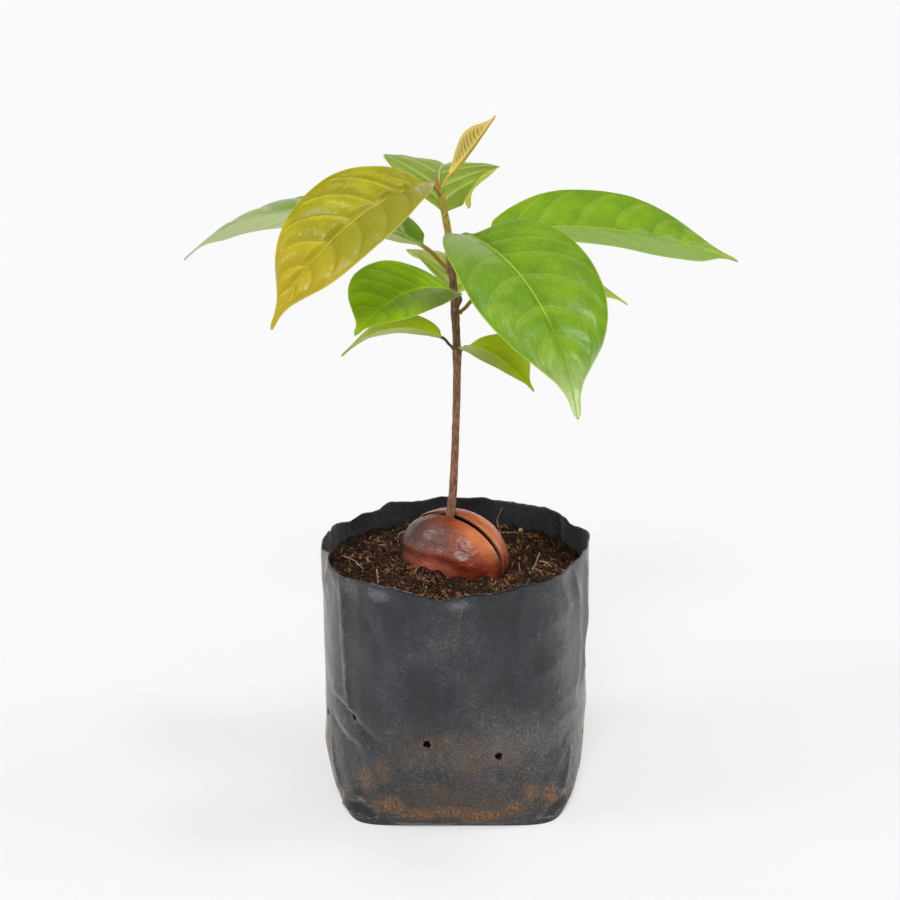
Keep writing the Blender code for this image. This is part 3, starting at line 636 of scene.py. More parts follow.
def nut_material():
    """Mahogany skin with fibres that run along the nut, its pale lip, and the dark flesh inside."""
    made, tree, shader, place = new_material("nut_skin")
    spot = stored(tree, "nut_place", "Vector")
    broad = mottle(tree, place, 75, 5, 0.6)
    fine = mottle(tree, place, 650, 4, 0.7)
    fibres = mottle(tree, spot, 10, 6, 0.72, (0.42, 2.4, 2.4))
    hairs = mottle(tree, spot, 42, 4, 0.7, (0.22, 2.0, 2.0))
    colour = blend(tree, fade(tree, broad, 0.35, 0.65), (0.18, 0.023, 0.009), (0.45, 0.070, 0.021))

    # large patches: orange to the right, a painted greyish sheen on top where the skin is also rougher,
    # dark to the left, painted shade low in front, ruddy in front
    orange = calc(
        tree, "MAXIMUM", near(tree, spot, (0.75, -0.10, 0.70), (0.85, 0.55, 0.60)),
        near(tree, spot, (0.6, 0.55, 0.7), (1.1, 0.75, 0.9)),
    )
    orange = times(tree, orange, fade(tree, fibres, 0.25, 0.6, 0.55, 1.0))
    colour = blend(tree, orange, colour, (0.74, 0.20, 0.045))
    # painted sheen: the broad greyish reflection on the upper front, where the skin is rougher too
    dull = near(tree, spot, (-0.22, -0.60, 0.70), (0.72, 0.62, 0.55))
    dull = times(tree, dull, fade(tree, fibres, 0.3, 0.62, 0.4, 1.0))
    colour = blend(tree, times(tree, dull, 0.85), colour, (0.135, 0.074, 0.060))
    # dark to the left, and painted shade on the lower front, the nut's shadow side
    dark = calc(
        tree, "MAXIMUM", near(tree, spot, (-1.05, -0.45, 0.30), (1.45, 1.5, 1.5)),
        times(tree, near(tree, spot, (-0.35, -1.0, 0.05), (0.9, 0.5, 0.40)), 0.25),
    )
    colour = blend(tree, times(tree, dark, 0.95), colour, (0.040, 0.016, 0.014))
    ruddy = near(tree, spot, (-0.2, -1.0, 0.15), (1.0, 0.6, 0.5))
    colour = blend(tree, times(tree, ruddy, 0.55), colour, (0.52, 0.15, 0.095))

    # dark and pale fibres over them, then the lip and the flesh
    lines = calc(tree, "MAXIMUM", fade(tree, fibres, 0.55, 0.66), fade(tree, hairs, 0.58, 0.68, 0.0, 0.8))
    colour = blend(tree, times(tree, lines, 0.5), colour, (0.055, 0.016, 0.010))
    colour = blend(tree, times(tree, fade(tree, hairs, 0.42, 0.32), 0.25), colour, (0.40, 0.20, 0.12))
    colour = blend(tree, times(tree, stored(tree, "lip"), 0.85), colour, (0.50, 0.22, 0.10))
    flesh = stored(tree, "flesh")
    split_face = blend(tree, fade(tree, fine, 0.45, 0.65), (0.010, 0.005, 0.003), (0.085, 0.042, 0.018))
    rough = plus(tree, fade(tree, fine, 0.3, 0.7, 0.26, 0.40), times(tree, dull, 0.16))
    feed(tree, shader, {
        "Base Color": blend(tree, flesh, colour, split_face),
        "Roughness": plus(tree, rough, times(tree, flesh, 0.4), clamp=True),
        "Specular IOR Level": 0.6, "Coat Weight": 0.30, "Coat Roughness": 0.28,
    })
    grooves = mottle(tree, spot, 10, 2, 0.5, (0.42, 2.4, 2.4))
    relief = plus(
        tree, times(tree, mottle(tree, place, 230, 1), 0.18),
        times(tree, mottle(tree, place, 600, 1), 0.38), times(tree, grooves, 0.45),
    )
    bumped(tree, shader, relief, 0.0006)
    return made


nut_look = nut_material()
for name, side in (("nut_front_half", -1), ("nut_back_half", 1)):
    half = nut_half(name + "_skin", side)
    half.data.materials.append(nut_look)
    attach(half, "root")
    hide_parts(name)

# ---- Soil ----
# Dark potting soil that fills the bag to a finger's width under the rim, heaped round the nut.
# Its body is one closed solid with a crumbly top, and loose crumbs and fibres lie all over that.

SOIL_INSET = 1.3
SOIL_TOP = 103.8
SOIL_MOUND, SOIL_MOUND_RADIUS = 2.6, 30.0
SOIL_LUMPS = 1.05
# Heaps against the nut's front: x, y, height, radius.
SOIL_HEAPS = [(-17, -7, 2.2, 10.5), (4, -17, 0.8, 9.5)]
SOIL_AROUND = 360
SOIL_TOP_ROWS = 80
# Crumbly relief of the top: how high, how wide, and its seed.
CRUMBLY = [(1.0, 6.5, 20), (0.8, 2.6, 21), (0.5, 1.3, 22)]


def soil_height(x, y):
    """The top of the soil: a shallow mound with uneven ground, heaped against the nut's front."""
    off = np.hypot(x - NUT_CENTRE[0], y - NUT_CENTRE[1])
    lumps = np.sin(0.31 * x + 1.3) * np.cos(0.27 * y - 0.4) + 0.6 * np.sin(0.53 * x - 0.47 * y)
    height = SOIL_TOP + SOIL_MOUND * np.exp(-((off / SOIL_MOUND_RADIUS) ** 2)) + SOIL_LUMPS * lumps
    for heap_x, heap_y, rise, radius in SOIL_HEAPS:
        height += rise * np.exp(-((x - heap_x) ** 2 + (y - heap_y) ** 2) / radius**2)
    return height


def under_nut(x, y):
    """The lowest height of the nut over a place, or a great height where it isn't over it."""
    axes = nut_axes()
    grown = NUT_HALF + [0.5, 2.2, 0.5]
    # the ellipsoid's own equation, solved for the lower crossing of the vertical through (x, y)
    base = np.stack([x - NUT_CENTRE[0], y - NUT_CENTRE[1], np.zeros_like(x)], axis=-1) @ axes / grown
    rise = axes[2] / grown
    a, b, c = rise @ rise, 2 * base @ rise, np.sum(base * base, axis=-1) - 1
    inside = b * b - 4 * a * c
    root = np.sqrt(np.maximum(inside, 0))
    return np.where(inside > 0, NUT_CENTRE[2] + (-b - root) / (2 * a), 1e3)


def soil_body():
    """Rings up the soil's side, dented behind the drain holes, and then in over its top."""
    row = np.arange(SOIL_AROUND) * 360 / SOIL_AROUND
    rings = []
    for height in [0.9, 3, 6, 10, 16, *np.linspace(22, 98, 22)]:
        ring = bag_points(row, height, SOIL_INSET)
        for hole in HOLES:
            dent = 2.4 * np.exp(-((hole_distance(row, height, hole) / 2.0) ** 2))
            ring[:, :2] *= (1 - dent / BAG_GIRTH_RADIUS)[:, None]
        rings.append(ring)
    for share in np.linspace(1.0, 0.02, SOIL_TOP_ROWS):
        ring = bag_points(row, 104.0, 0.3)
        ring[:, :2] *= share
        x, y = ring[:, 0], ring[:, 1]
        ring[:, 2] = soil_height(x, y)
        crumbly = sum(high * clouds(ring, wide, seed) for high, wide, seed in CRUMBLY)
        ring[:, 2] = np.minimum(ring[:, 2] + crumbly, under_nut(x, y) - 0.1)
        rings.append(ring)
    return joined_rings(rings)


def soil_material(label, tone=None):
    """Earth from near black to brown. tone names a stored value that tells crumbs apart."""
    made, tree, shader, place = new_material(label)
    lumps = mottle(tree, place, 160, 3)
    grains = mottle(tree, place, 900, 3, 0.7)
    colour = blend(tree, fade(tree, lumps, 0.35, 0.65), (0.007, 0.004, 0.0026), (0.028, 0.013, 0.007))
    colour = blend(tree, fade(tree, grains, 0.48, 0.68, 0, 0.8), colour, (0.13, 0.056, 0.027))
    if tone:
        value = stored(tree, tone)
        colour = blend(tree, fade(tree, value, 0.35, 0.95, 0, 0.95), colour, (0.40, 0.18, 0.082))
        colour = blend(tree, fade(tree, value, 0.97, 0.99, 0, 0.8), colour, (0.50, 0.32, 0.17))
    feed(tree, shader, {"Base Color": colour, "Roughness": 0.7, "Specular IOR Level": 0.15})
    bumped(tree, shader, grains, 0.0009)
    return made


soil = mesh_piece("potting_soil", *soil_body())
soil.data.materials.append(soil_material("damp_earth"))
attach(soil, "root")
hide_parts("soil")


GROUND_REACH = 59
GROUND_STEPS = 90


def open_ground():
    """The part of the soil's top that crumbs lie on, as loose faces, clear of the nut and the rim."""
    steps = np.linspace(-GROUND_REACH, GROUND_REACH, GROUND_STEPS)
    x, y = np.meshgrid(steps, steps)
    points = np.stack([x, y, soil_height(x, y) - 0.5], axis=-1).reshape(-1, 3)
    clear = (np.hypot(x, y) < GROUND_REACH) & (under_nut(x, y) > soil_height(x, y) + 0.5)
    cells = np.argwhere(clear[:-1, :-1] & clear[1:, :-1] & clear[:-1, 1:] & clear[1:, 1:])
    faces = []
    for first in (cells @ [GROUND_STEPS, 1]).tolist():
        faces.append((first, first + 1, first + GROUND_STEPS + 1, first + GROUND_STEPS))
    return points, faces


SCATTER_INPUTS = {
    "Density": "Float", "Seed": "Int", "Smallest": "Float", "Largest": "Float",
    "Rarity of large": "Float", "Roundness": "Int", "Finish": "Material",
}


def scatter_tree(label):
    """A geometry tree with its named inputs, and its input and output nodes."""
    tree = bpy.data.node_groups.new(label, "GeometryNodeTree")
    tree.interface.new_socket("Geometry", in_out="INPUT", socket_type="NodeSocketGeometry")
    for name, kind in SCATTER_INPUTS.items():
        tree.interface.new_socket(name, in_out="INPUT", socket_type="NodeSocket" + kind)
    tree.interface.new_socket("Geometry", in_out="OUTPUT", socket_type="NodeSocketGeometry")
    return tree, tree.nodes.new("NodeGroupInput").outputs, tree.nodes.new("NodeGroupOutput").inputs


def random_value(tree, low, high, seed):
    """A random number, or three of them where low and high are three."""
    three = isinstance(low, tuple)
    made = add(tree, "FunctionNodeRandomValue", data_type="FLOAT_VECTOR" if three else "FLOAT")
    first = 0 if three else 2
    feed(tree, made, {first: low, first + 1: high, "Seed": seed})
    return made.outputs[0 if three else 1]


def scattered(tree, given, shape, tilt):
    """Copies of a shape on the ground's faces, each with its own turn, size and tone, as real mesh."""
    dots = add(tree, "GeometryNodeDistributePointsOnFaces", {
        "Mesh": given["Geometry"], "Density": given["Density"], "Seed": given["Seed"],
    })
    turn = random_value(tree, (-tilt, -tilt, 0.0), (tilt, tilt, ROUND), 3)
    size = calc(tree, "POWER", random_value(tree, 0.0, 1.0, 4), given["Rarity of large"])
    size = add(tree, "ShaderNodeMapRange", {0: size, 3: given["Smallest"], 4: given["Largest"]})
    uneven = random_value(tree, (0.45, 0.45, 0.35), (1.5, 1.3, 1.1), 5)
    size = add(tree, "ShaderNodeVectorMath", {0: uneven, "Scale": size.outputs[0]}, operation="SCALE")
    copies = add(tree, "GeometryNodeInstanceOnPoints", {
        "Points": dots.outputs["Points"], "Instance": shape, "Rotation": turn, "Scale": size.outputs[0],
    })
    toned = add(tree, "GeometryNodeStoreNamedAttribute", {
        "Geometry": copies.outputs[0], "Name": "tone", "Value": random_value(tree, 0.0, 1.0, 6),
    }, data_type="FLOAT", domain="INSTANCE")
    return add(tree, "GeometryNodeRealizeInstances", {"Geometry": toned.outputs[0]}).outputs[0]


def grown_mesh(name, ground, tree, values):
    """A piece of plain mesh, which a geometry tree makes from the ground's mesh."""
    ground = mesh_piece(name + "_ground", *ground)
    modifier = ground.modifiers.new("grow", "NODES")
    modifier.node_group = tree
    sockets = {s.name: s.identifier for s in tree.interface.items_tree if s.in_out == "INPUT"}
    for label, value in values.items():
        modifier[sockets[label]] = value
    mesh = plain_mesh(ground)
    mesh.name = name
    ground.modifiers.clear()
    bpy.data.objects.remove(ground)
    made = bpy.data.objects.new(name, mesh)
    bpy.context.scene.collection.objects.link(made)
    return made


def crumb_tree():
    """Crumbs of earth: small balls pushed out of round."""
    tree, given, result = scatter_tree("soil_crumbs")
    grain = add(tree, "GeometryNodeMeshIcoSphere", {"Radius": 0.5, "Subdivisions": given["Roundness"]})
    real = scattered(tree, given, grain.outputs[0], math.pi)
    place = add(tree, "GeometryNodeInputPosition").outputs[0]
    noise = add(tree, "ShaderNodeTexNoise", {"Vector": place, "Scale": 1300.0, "Detail": 3.0})
    off = calc_vector(tree, "SUBTRACT", noise.outputs["Color"], (0.5, 0.5, 0.5))
    off = add(tree, "ShaderNodeVectorMath", {0: off, "Scale": 0.0017}, operation="SCALE")
    pushed = add(tree, "GeometryNodeSetPosition", {"Geometry": real, "Offset": off.outputs[0]})
    done = add(tree, "GeometryNodeSetMaterial", {
        "Geometry": pushed.outputs[0], "Material": given["Finish"],
    })
    tree.links.new(done.outputs[0], result[0])
    return tree


def fibre_tree():
    """Fibres: short bowed hairs with three sides."""
    tree, given, result = scatter_tree("soil_fibres")
    bow = add(tree, "GeometryNodeCurveQuadraticBezier", {
        "Resolution": 2, "Start": (-0.5, 0.0, 0.0), "Middle": (0.05, 0.32, 0.12),
        "End": (0.5, -0.05, 0.02),
    })
    thin = add(tree, "GeometryNodeCurvePrimitiveCircle", {"Resolution": 3, "Radius": 0.07})
    hair = add(tree, "GeometryNodeCurveToMesh", {
        "Curve": bow.outputs[0], "Profile Curve": thin.outputs[0], "Fill Caps": True,
    })
    real = scattered(tree, given, hair.outputs[0], 1.1)
    done = add(tree, "GeometryNodeSetMaterial", {"Geometry": real, "Material": given["Finish"]})
    tree.links.new(done.outputs[0], result[0])
    return tree


def fibre_material():
    """Dry fibres, from near black to straw."""
    made, tree, shader, place = new_material("dry_fibre")
    tone = stored(tree, "tone")
    colour = blend(tree, fade(tree, tone, 0.20, 0.75), (0.014, 0.006, 0.004), (0.32, 0.125, 0.050))
    colour = blend(tree, fade(tree, tone, 0.72, 1.0, 0, 0.9), colour, (0.85, 0.50, 0.25))
    worn = fade(tree, mottle(tree, place, 900), 0.3, 0.7, 0, 0.4)
    colour = blend(tree, worn, colour, (0.08, 0.035, 0.016))
    feed(tree, shader, {"Base Color": colour, "Roughness": 0.7})
    return made


crumb_look = soil_material("loose_earth", "tone")
fibre_look = fibre_material()
crumbs = crumb_tree()
# piece, tree, finish, how many for each square metre, seed, smallest and largest in metres, rarity
for name, tree, finish, density, seed, smallest, largest, rarity in (
    ("soil_crumbs", crumbs, crumb_look, 90000.0, 4, 0.0010, 0.0026, 2.6),
    ("soil_grains", crumbs, crumb_look, 780000.0, 7, 0.0006, 0.0018, 1.5),
    ("soil_fibres", fibre_tree(), fibre_look, 1020000.0, 9, 0.0011, 0.0046, 2.4),
):
    loose = grown_mesh(name, open_ground(), tree, {
        "Density": density, "Seed": seed, "Smallest": smallest, "Largest": largest,
        "Rarity of large": rarity, "Roundness": 1, "Finish": finish,
    })
    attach(loose, "root")


def tube(path, radii, sides, bark):
    """A closed tube round a path that runs mostly one way, with an uneven skin."""
    path = np.array(path, float)
    along = np.gradient(path, axis=0)
    along /= np.linalg.norm(along, axis=1)[:, None]
    guide = np.array([0.0, 1.0, 0.0]) if abs(along[0][1]) < 0.8 else np.array([1.0, 0.0, 0.0])
    turns = np.arange(sides) * ROUND / sides
    first = np.cross(guide, along)
    first /= np.linalg.norm(first, axis=1)[:, None]
    second = np.cross(along, first)
    ways = np.cos(turns)[None, :, None] * first[:, None] + np.sin(turns)[None, :, None] * second[:, None]
    plain = path[:, None] + ways * np.asarray(radii)[:, None, None]
    lumps = clouds(plain, 2.6, 30) + 0.6 * clouds(plain * [1, 1, 0.35], 0.9, 31)
    return joined_rings(plain + ways * (bark * lumps)[..., None])


def joined(parts):
    """Several (points, faces) as one."""
    points, faces = [], []
    for some, theirs in parts:
        start = len(points)
        points += np.asarray(some).tolist()
        faces += [tuple(i + start for i in face) for face in theirs]
    return points, faces


# A few dry straws and one pale seed lie on the soil: points along each, and its radius.
STRAWS = [
    (0.32, [(-53, 13, 105.6), (-47, 4, 107.2), (-42, -5, 106.3)]),
    (0.28, [(-36, -7, 107.0), (-35.5, -13, 106.2), (-35, -18, 105.0)]),
    (0.24, [(21, 47.4, 104.5), (20, 47, 109.5), (22.6, 47, 115.6)]),
    (0.30, [(39.5, 13.5, 106.5), (38, 4, 107.0), (35.3, -6, 105.6)]),
    (0.32, [(39, 4.5, 106.2), (42, 2.5, 106.8), (44.8, -1, 105.4)]),
    (0.22, [(16, 40, 105.0), (24, 37, 107.5), (31, 39, 106.0)]),
    (0.20, [(-28, 38, 105.0), (-22, 42, 107.0), (-15, 43, 105.6)]),
]
# The seed: its centre, its half length as x, y and z, and its radius.
PALE_SEED = ((31.4, 40.8, 106.6), (0.4, 0.3, 1.1), 1.15)
parts = []
for radius, path in STRAWS:
    share = np.linspace(0, 1, 12)
    bent = np.stack([np.interp(share, [0, 0.5, 1], column) for column in zip(*path)], axis=1)
    bent[1:-1] = (bent[:-2] + 2 * bent[1:-1] + bent[2:]) / 4
    parts.append(tube(bent, radius * (1 - 0.5 * share), 8, 0.06))
along = np.linspace(-1, 1, 9)
centre, half_length, radius = PALE_SEED
parts.append(tube(centre + np.outer(along, half_length), radius * np.sqrt(1.02 - along**2), 12, 0.08))
straws = mesh_piece("straws", *joined(parts))


def straw_material():
    """Dry straw, streaked brown."""
    made, tree, shader, place = new_material("straw")
    streaks = mottle(tree, place, 700, 3)
    colour = blend(tree, fade(tree, streaks, 0.3, 0.7), (0.36, 0.21, 0.10), (0.68, 0.49, 0.29))
    feed(tree, shader, {"Base Color": colour, "Roughness": 0.6})
    bumped(tree, shader, streaks, 0.0001, 0.6)
    return made


straws.data.materials.append(straw_material())
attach(straws, "root")

# ---- Stem and roots ----
# One woody shoot: speckled brown bark, thicker where leaves leave it, turning olive near the tip.
# Its taproot and side roots are out of sight in the soil.

# Side roots: height where they leave the taproot, heading, length, dip and thickness.
SIDE_ROOTS = [
    (76, 20, 30, 35, 0.7), (70, 150, 34, 30, 0.7), (60, -80, 32, 40, 0.6), (48, 80, 28, 30, 0.6),
    (40, -160, 26, 35, 0.5),
]


def bark_material():
    """Speckled bark: brown below, darker in the middle and olive at the tip."""
    made, tree, shader, place = new_material("bark")
    height = split(tree, place)[2]
    fine = mottle(tree, place, 1500, 4, 0.7)
    flecks = mottle(tree, place, 900, 3, 0.6, (1.0, 1.0, 0.4))
    streaks = mottle(tree, place, 900, 4, 0.7, (1.0, 1.0, 0.35))
    streaky = fade(tree, streaks, 0.35, 0.65)
    low = blend(tree, streaky, (0.19, 0.080, 0.044), (0.42, 0.205, 0.115))
    middle = blend(tree, streaky, (0.11, 0.056, 0.026), (0.27, 0.15, 0.075))
    olive = blend(tree, streaky, (0.34, 0.25, 0.022), (0.52, 0.44, 0.060))
    colour = blend(tree, fade(tree, height, 0.196, 0.212), low, middle)
    colour = blend(tree, fade(tree, height, 0.243, 0.262), colour, olive)
    foot = fade(tree, height, 0.150, 0.118)
    colour = blend(tree, times(tree, foot, 0.6), colour, (0.26, 0.14, 0.065))
    colour = blend(tree, fade(tree, flecks, 0.56, 0.66, 0, 0.40), colour, (0.50, 0.34, 0.22))
    colour = blend(tree, fade(tree, flecks, 0.40, 0.33, 0, 0.7), colour, (0.045, 0.020, 0.012))
    feed(tree, shader, {"Base Color": colour, "Roughness": 0.7, "Specular IOR Level": 0.3})
    bumped(tree, shader, plus(tree, fine, streaks), 0.00018, 0.8)
    return made


heights = np.concatenate([np.arange(18, 104, 4.0), np.arange(104, 281.7, 0.8), [281.6]])
x, y, radius = stem_at(heights)
parts = [tube(np.stack([x, y, heights], axis=1), radius, 28, 0.10)]
for start, heading, length, dip, thick in SIDE_ROOTS:
    x, y, _ = stem_at(start)
    way = np.array([math.cos(math.radians(heading)), math.sin(math.radians(heading)), 0])
    path = []
    for share in np.linspace(0, 1, 10):
        fall = math.tan(math.radians(dip)) * share * (0.6 + 0.6 * share)
        path.append(np.array([x, y, start]) + length * (way * share - np.array([0, 0, fall])))
    parts.append(tube(path, thick * np.linspace(1, 0.45, 10), 10, 0.05))
stem = mesh_piece("woody_stem", *joined(parts))
stem.data.materials.append(bark_material())
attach(stem, "root")
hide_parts("stem_and_taproot")

# ---- Small leaves at the foot of the crown ----
# The oldest pair, low on the stem: short olive blades on thin brown petioles. A leaf grows as one
# piece, petiole and blade, so each is one closed skin, thick at the midrib and thin at its margin.

# Width of a blade as a share of its widest, along its length: round base, long drip tip.
BLADE_OUTLINE = [
    (0.0, 0.0), (0.03, 0.25), (0.08, 0.46), (0.15, 0.68), (0.25, 0.88), (0.35, 0.975), (0.45, 1.0),
    (0.55, 0.96), (0.65, 0.84), (0.75, 0.62), (0.83, 0.35), (0.89, 0.165), (0.94, 0.08),
    (0.985, 0.045), (1.0, 0.01),
]
# Where side veins leave the midrib, as shares of the blade's length.
SIDE_VEINS = [0.08, 0.19, 0.33, 0.47, 0.61, 0.73, 0.825, 0.9]
PETIOLE_RADIUS = 0.9
# How deep a petiole starts inside the bark, and how many rings it has.
IN_BARK = 1.6
STALK_ROWS = 16


def eased(xs, knots):
    """A smooth curve through knots, with no overshoot (monotone between them)."""
    kx, ky = (np.array(column, float) for column in zip(*knots))
    step = np.diff(kx)
    slope = np.diff(ky) / step
    tangent = np.zeros(len(kx))
    same = slope[:-1] * slope[1:] > 0
    first, second = 2 * step[1:] + step[:-1], step[1:] + 2 * step[:-1]
    with np.errstate(divide="ignore", invalid="ignore"):
        mean = (first + second) / (first / slope[:-1] + second / slope[1:])
    tangent[1:-1] = np.where(same, mean, 0)
    tangent[0], tangent[-1] = slope[0], slope[-1]
    i = np.clip(np.searchsorted(kx, xs) - 1, 0, len(step) - 1)
    t = (xs - kx[i]) / step[i]
    return (
        ky[i] * (1 + 2 * t) * (1 - t) ** 2 + tangent[i] * step[i] * t * (1 - t) ** 2
        + ky[i + 1] * t * t * (3 - 2 * t) + tangent[i + 1] * step[i] * t * t * (t - 1)
    )


def along_three(values, share):
    """A smooth run through the values at the base, the middle and the tip."""
    base, middle, tip = values
    to_middle, to_tip = 4 * middle * share * (1 - share), tip * share * (2 * share - 1)
    return base * (1 - share) * (1 - 2 * share) + to_middle + to_tip


def between(ends, share):
    """A straight run from the first value to the second."""
    return ends[0] + (ends[1] - ends[0]) * share


def way_of(rise, heading):
    """The direction that rises and heads by these degrees, one long."""
    rise, heading = np.radians(rise), np.radians(heading) + 0 * rise
    return np.stack([np.cos(rise) * np.cos(heading), np.cos(rise) * np.sin(heading), np.sin(rise)], axis=-1)


def side_and_up(rise, heading, roll):
    """The blade's own left and up, for its slope, its heading and its roll in degrees."""
    heading = heading + 0 * rise
    flat = np.stack([-np.sin(np.radians(heading)), np.cos(np.radians(heading)), 0 * heading], axis=-1)
    up = np.cross(way_of(rise, heading), flat)
    c, s = np.cos(np.radians(roll))[..., None], np.sin(np.radians(roll))[..., None]
    return flat * c + up * s, up * c - flat * s


def line_from(start, steps):
    """The points of a line that starts at a place and takes these steps."""
    return start + np.concatenate([[[0, 0, 0]], np.cumsum(steps, axis=0)])


def vein_phase(share, across, veins):
    """Which side vein a place lies on, as a number that is whole on a vein, and the veins' spacing."""
    lean = 0.13 * np.abs(across) + 0.09 * np.abs(across) ** 3
    start = share
    for _ in range(8):
        start = share - lean * np.interp(start, [0.4, 0.95], [1.0, 0.45])
    knots = [-0.3] + veins + [1.2]
    phase = np.interp(start, knots, np.arange(len(knots)))
    gaps = np.gradient(np.array(knots))
    return phase, np.interp(start, knots[1:-1], gaps[1:-1])


def grow_leaf(name, height, heading, petiole, petiole_rise, length, width, rise, turn, roll, left, right,
              droop, slim, twist=0.0, reach=None, quilt=0.25, wave=0.08, rows=110, columns=22,
              outline=BLADE_OUTLINE, veins=SIDE_VEINS, pinch=0.0):
    """One leaf as a mesh piece: a petiole that leaves the stem at a height, and a blade on it.

    Angles are in degrees. rise is the midrib's slope at its base, middle and tip, turn is how far it
    swings, and roll is how the blade leans at its base and tip. left and right are how far each half
    folds up there. droop bends the margins down, slim moves the widest place, twist starts the
    petiole off its heading, and pinch narrows the right half between its base and its middle.
    """
    x, y, stem_radius = stem_at(height)
    stalk_radius = PETIOLE_RADIUS * (0.75 if length < 60 else 1.0)
    if reach is None:
        reach = stem_radius + 0.45 + 1.12 * stalk_radius * math.sin(math.radians(petiole_rise))
    outwards = way_of(np.array(0.0), heading + twist)
    start = np.array([x, y, height]) + (reach - IN_BARK) * outwards

    def stalk_way(t):
        """The petiole's rise and heading at a share of its length."""
        return petiole_rise + (rise[0] - petiole_rise) * t**1.5, heading + twist * (1 - t)

    # the petiole's line, then the midrib's
    t = (np.arange(STALK_ROWS) + 0.5) / STALK_ROWS
    stalk = line_from(start, petiole / STALK_ROWS * way_of(*stalk_way(t)))
    out_of_bark = smooth(np.linspace(0, 1, STALK_ROWS + 1), 0, 0.5)
    stalk = stalk + out_of_bark[:, None] * (IN_BARK * outwards)
    fine = 4 * rows
    t = (np.arange(fine) + 0.5) / fine
    steps = length / fine * way_of(along_three(rise, t), heading + turn * t**1.5)
    midrib = line_from(stalk[-1], steps)[::4]

    # the blade's top: s is the share along it, a goes from 1 at its left margin to -1 at its right,
    # closer together at the midrib, and h is its half width in millimetres
    share = np.linspace(0, 1, rows + 1)
    u = np.linspace(1, -1, 2 * columns + 1)
    s, a = np.meshgrid(share, u * (0.55 + 0.45 * np.abs(u)), indexing="ij")
    h = np.maximum(eased(share ** (1 + slim), outline) * width / 2, 0.22)[:, None]
    left_way, up = side_and_up(along_three(rise, share), heading + turn * share**1.5, between(roll, share))
    left_way, up = left_way[:, None], up[:, None]
    fold = np.radians(np.where(a > 0, between(left, s), between(right, s)))
    narrowed = np.where(a < 0, 1 - pinch * smooth(s, 0.02, 0.15) * smooth(0.5 - s, 0.0, 0.22), 1.0)
    side = (a * narrowed * np.cos(fold))[..., None] * left_way
    lift = (np.abs(a) * narrowed * np.sin(fold) - droop * a * a)[..., None] * up
    top = midrib[:, None] + h[..., None] * (side + lift)
    normal = up * np.cos(fold)[..., None] - (np.sign(a) * np.sin(fold))[..., None] * left_way
    normal[:, columns] = up[:, 0]

    # veins sunk between quilted cells, a wavy margin, and a little unevenness
    phase, gap = vein_phase(s, a, veins)
    off = np.abs(phase - np.round(phase)) * 2
    x_mm = a * h
    open_blade = smooth(np.abs(x_mm), 0.3, 3.5) * smooth(1 - np.abs(a), 0.0, 0.3) * smooth(s, 0.03, 0.15)
    open_blade = open_blade * smooth(1 - s, 0.05, 0.2)
    relief = quilt * (0.6 + 0.8 * s) * (1 - (1 - off) ** 2) * open_blade
    relief -= 0.35 * np.exp(-((x_mm / 0.7) ** 2)) * smooth(s, 0.02, 0.1) * (1 - 0.5 * s)
    relief += 0.35 * clouds(top, 16, 40) * open_blade + 0.10 * clouds(top, 5, 41) * open_blade
    relief += wave * np.abs(a) ** 3 * np.sin(ROUND * 3.3 * s + (a > 0) * 1.3) * smooth(s, 0.05, 0.2) * 2
    top = top + normal * relief[..., None]

    # the underside, thicker at the midrib and side veins, and one point round the margin
    thick = 0.20 + 0.14 * (1 - np.abs(a)) + 1.0 * (1 - 0.85 * s) * np.exp(-((x_mm / 0.9) ** 2))
    thick = thick + 0.16 * np.exp(-((off * gap * length / 2 / 0.5) ** 2)) * open_blade
    under = top - normal * np.minimum(thick, 0.2 + h)[..., None]
    margin = (top[:, [0, -1]] + under[:, [0, -1]]) / 2
    margin += np.array([1, -1])[None, :, None] * left_way * 0.10
    blade = np.concatenate([top, margin[:, 1:], under[:, ::-1], margin[:, :1]], axis=1)

    # a round petiole that flattens into the blade
    half_turn = math.pi * (1 - u) / 2
    turns = np.concatenate([half_turn, [math.pi], math.pi + half_turn, [ROUND]])
    rings = []
    for i in range(STALK_ROWS):
        t = i / STALK_ROWS
        left_here, up_here = side_and_up(*(np.array(v) for v in stalk_way(t)), np.array(float(roll[0])))
        radius = stalk_radius * (1.0 + 0.35 * (1 - smooth(t, 0, 0.22)) + 0.10 * smooth(t, 0.75, 1.0))
        ring = np.outer(np.cos(turns), left_here) + np.outer(np.sin(turns), up_here)
        rings.append(stalk[i] + radius * ring)
    thin = (stalk_radius * (1.1 - 0.6 * share))[:, None, None]
    circle = midrib[:, None] + thin * (
        np.cos(turns)[None, :, None] * left_way + np.sin(turns)[None, :, None] * up
    )
    flatten = smooth(share, 0.0, 0.07)[:, None, None]
    rings = np.concatenate([np.array(rings), circle * (1 - flatten) + blade * flatten])
    size = rings.shape[:2]

    def spread(on_top, on_stalk):
        """A value over the whole skin, from one over the blade's top."""
        whole = np.concatenate([on_top, on_top[:, -1:], on_top[:, ::-1], on_top[:, :1]], axis=1)
        return np.concatenate([np.full((STALK_ROWS, size[1]), float(on_stalk)), whole])

    def three(*values):
        return at_ends(np.stack(values, axis=-1), *size)

    topside = np.ones(size)
    topside[:, 2 * columns + 1:] = 0.0
    stalk_share = np.concatenate([np.linspace(1.6, 1.0, STALK_ROWS), 1 - smooth(share, 0.0, 0.05)])
    stalk_share = np.repeat(stalk_share[:, None], size[1], axis=1)
    return mesh_piece(name, *joined_rings(rings), vectors={
        "vein": three(spread(phase, 0), spread(gap * length, 9), spread(a, 0)),
        "blade": three(spread(x_mm, 0), spread(s * length, 0), topside),
        "edge": three(spread((1 - np.abs(a)) * h, 9), stalk_share, spread(s, 0)),
    })


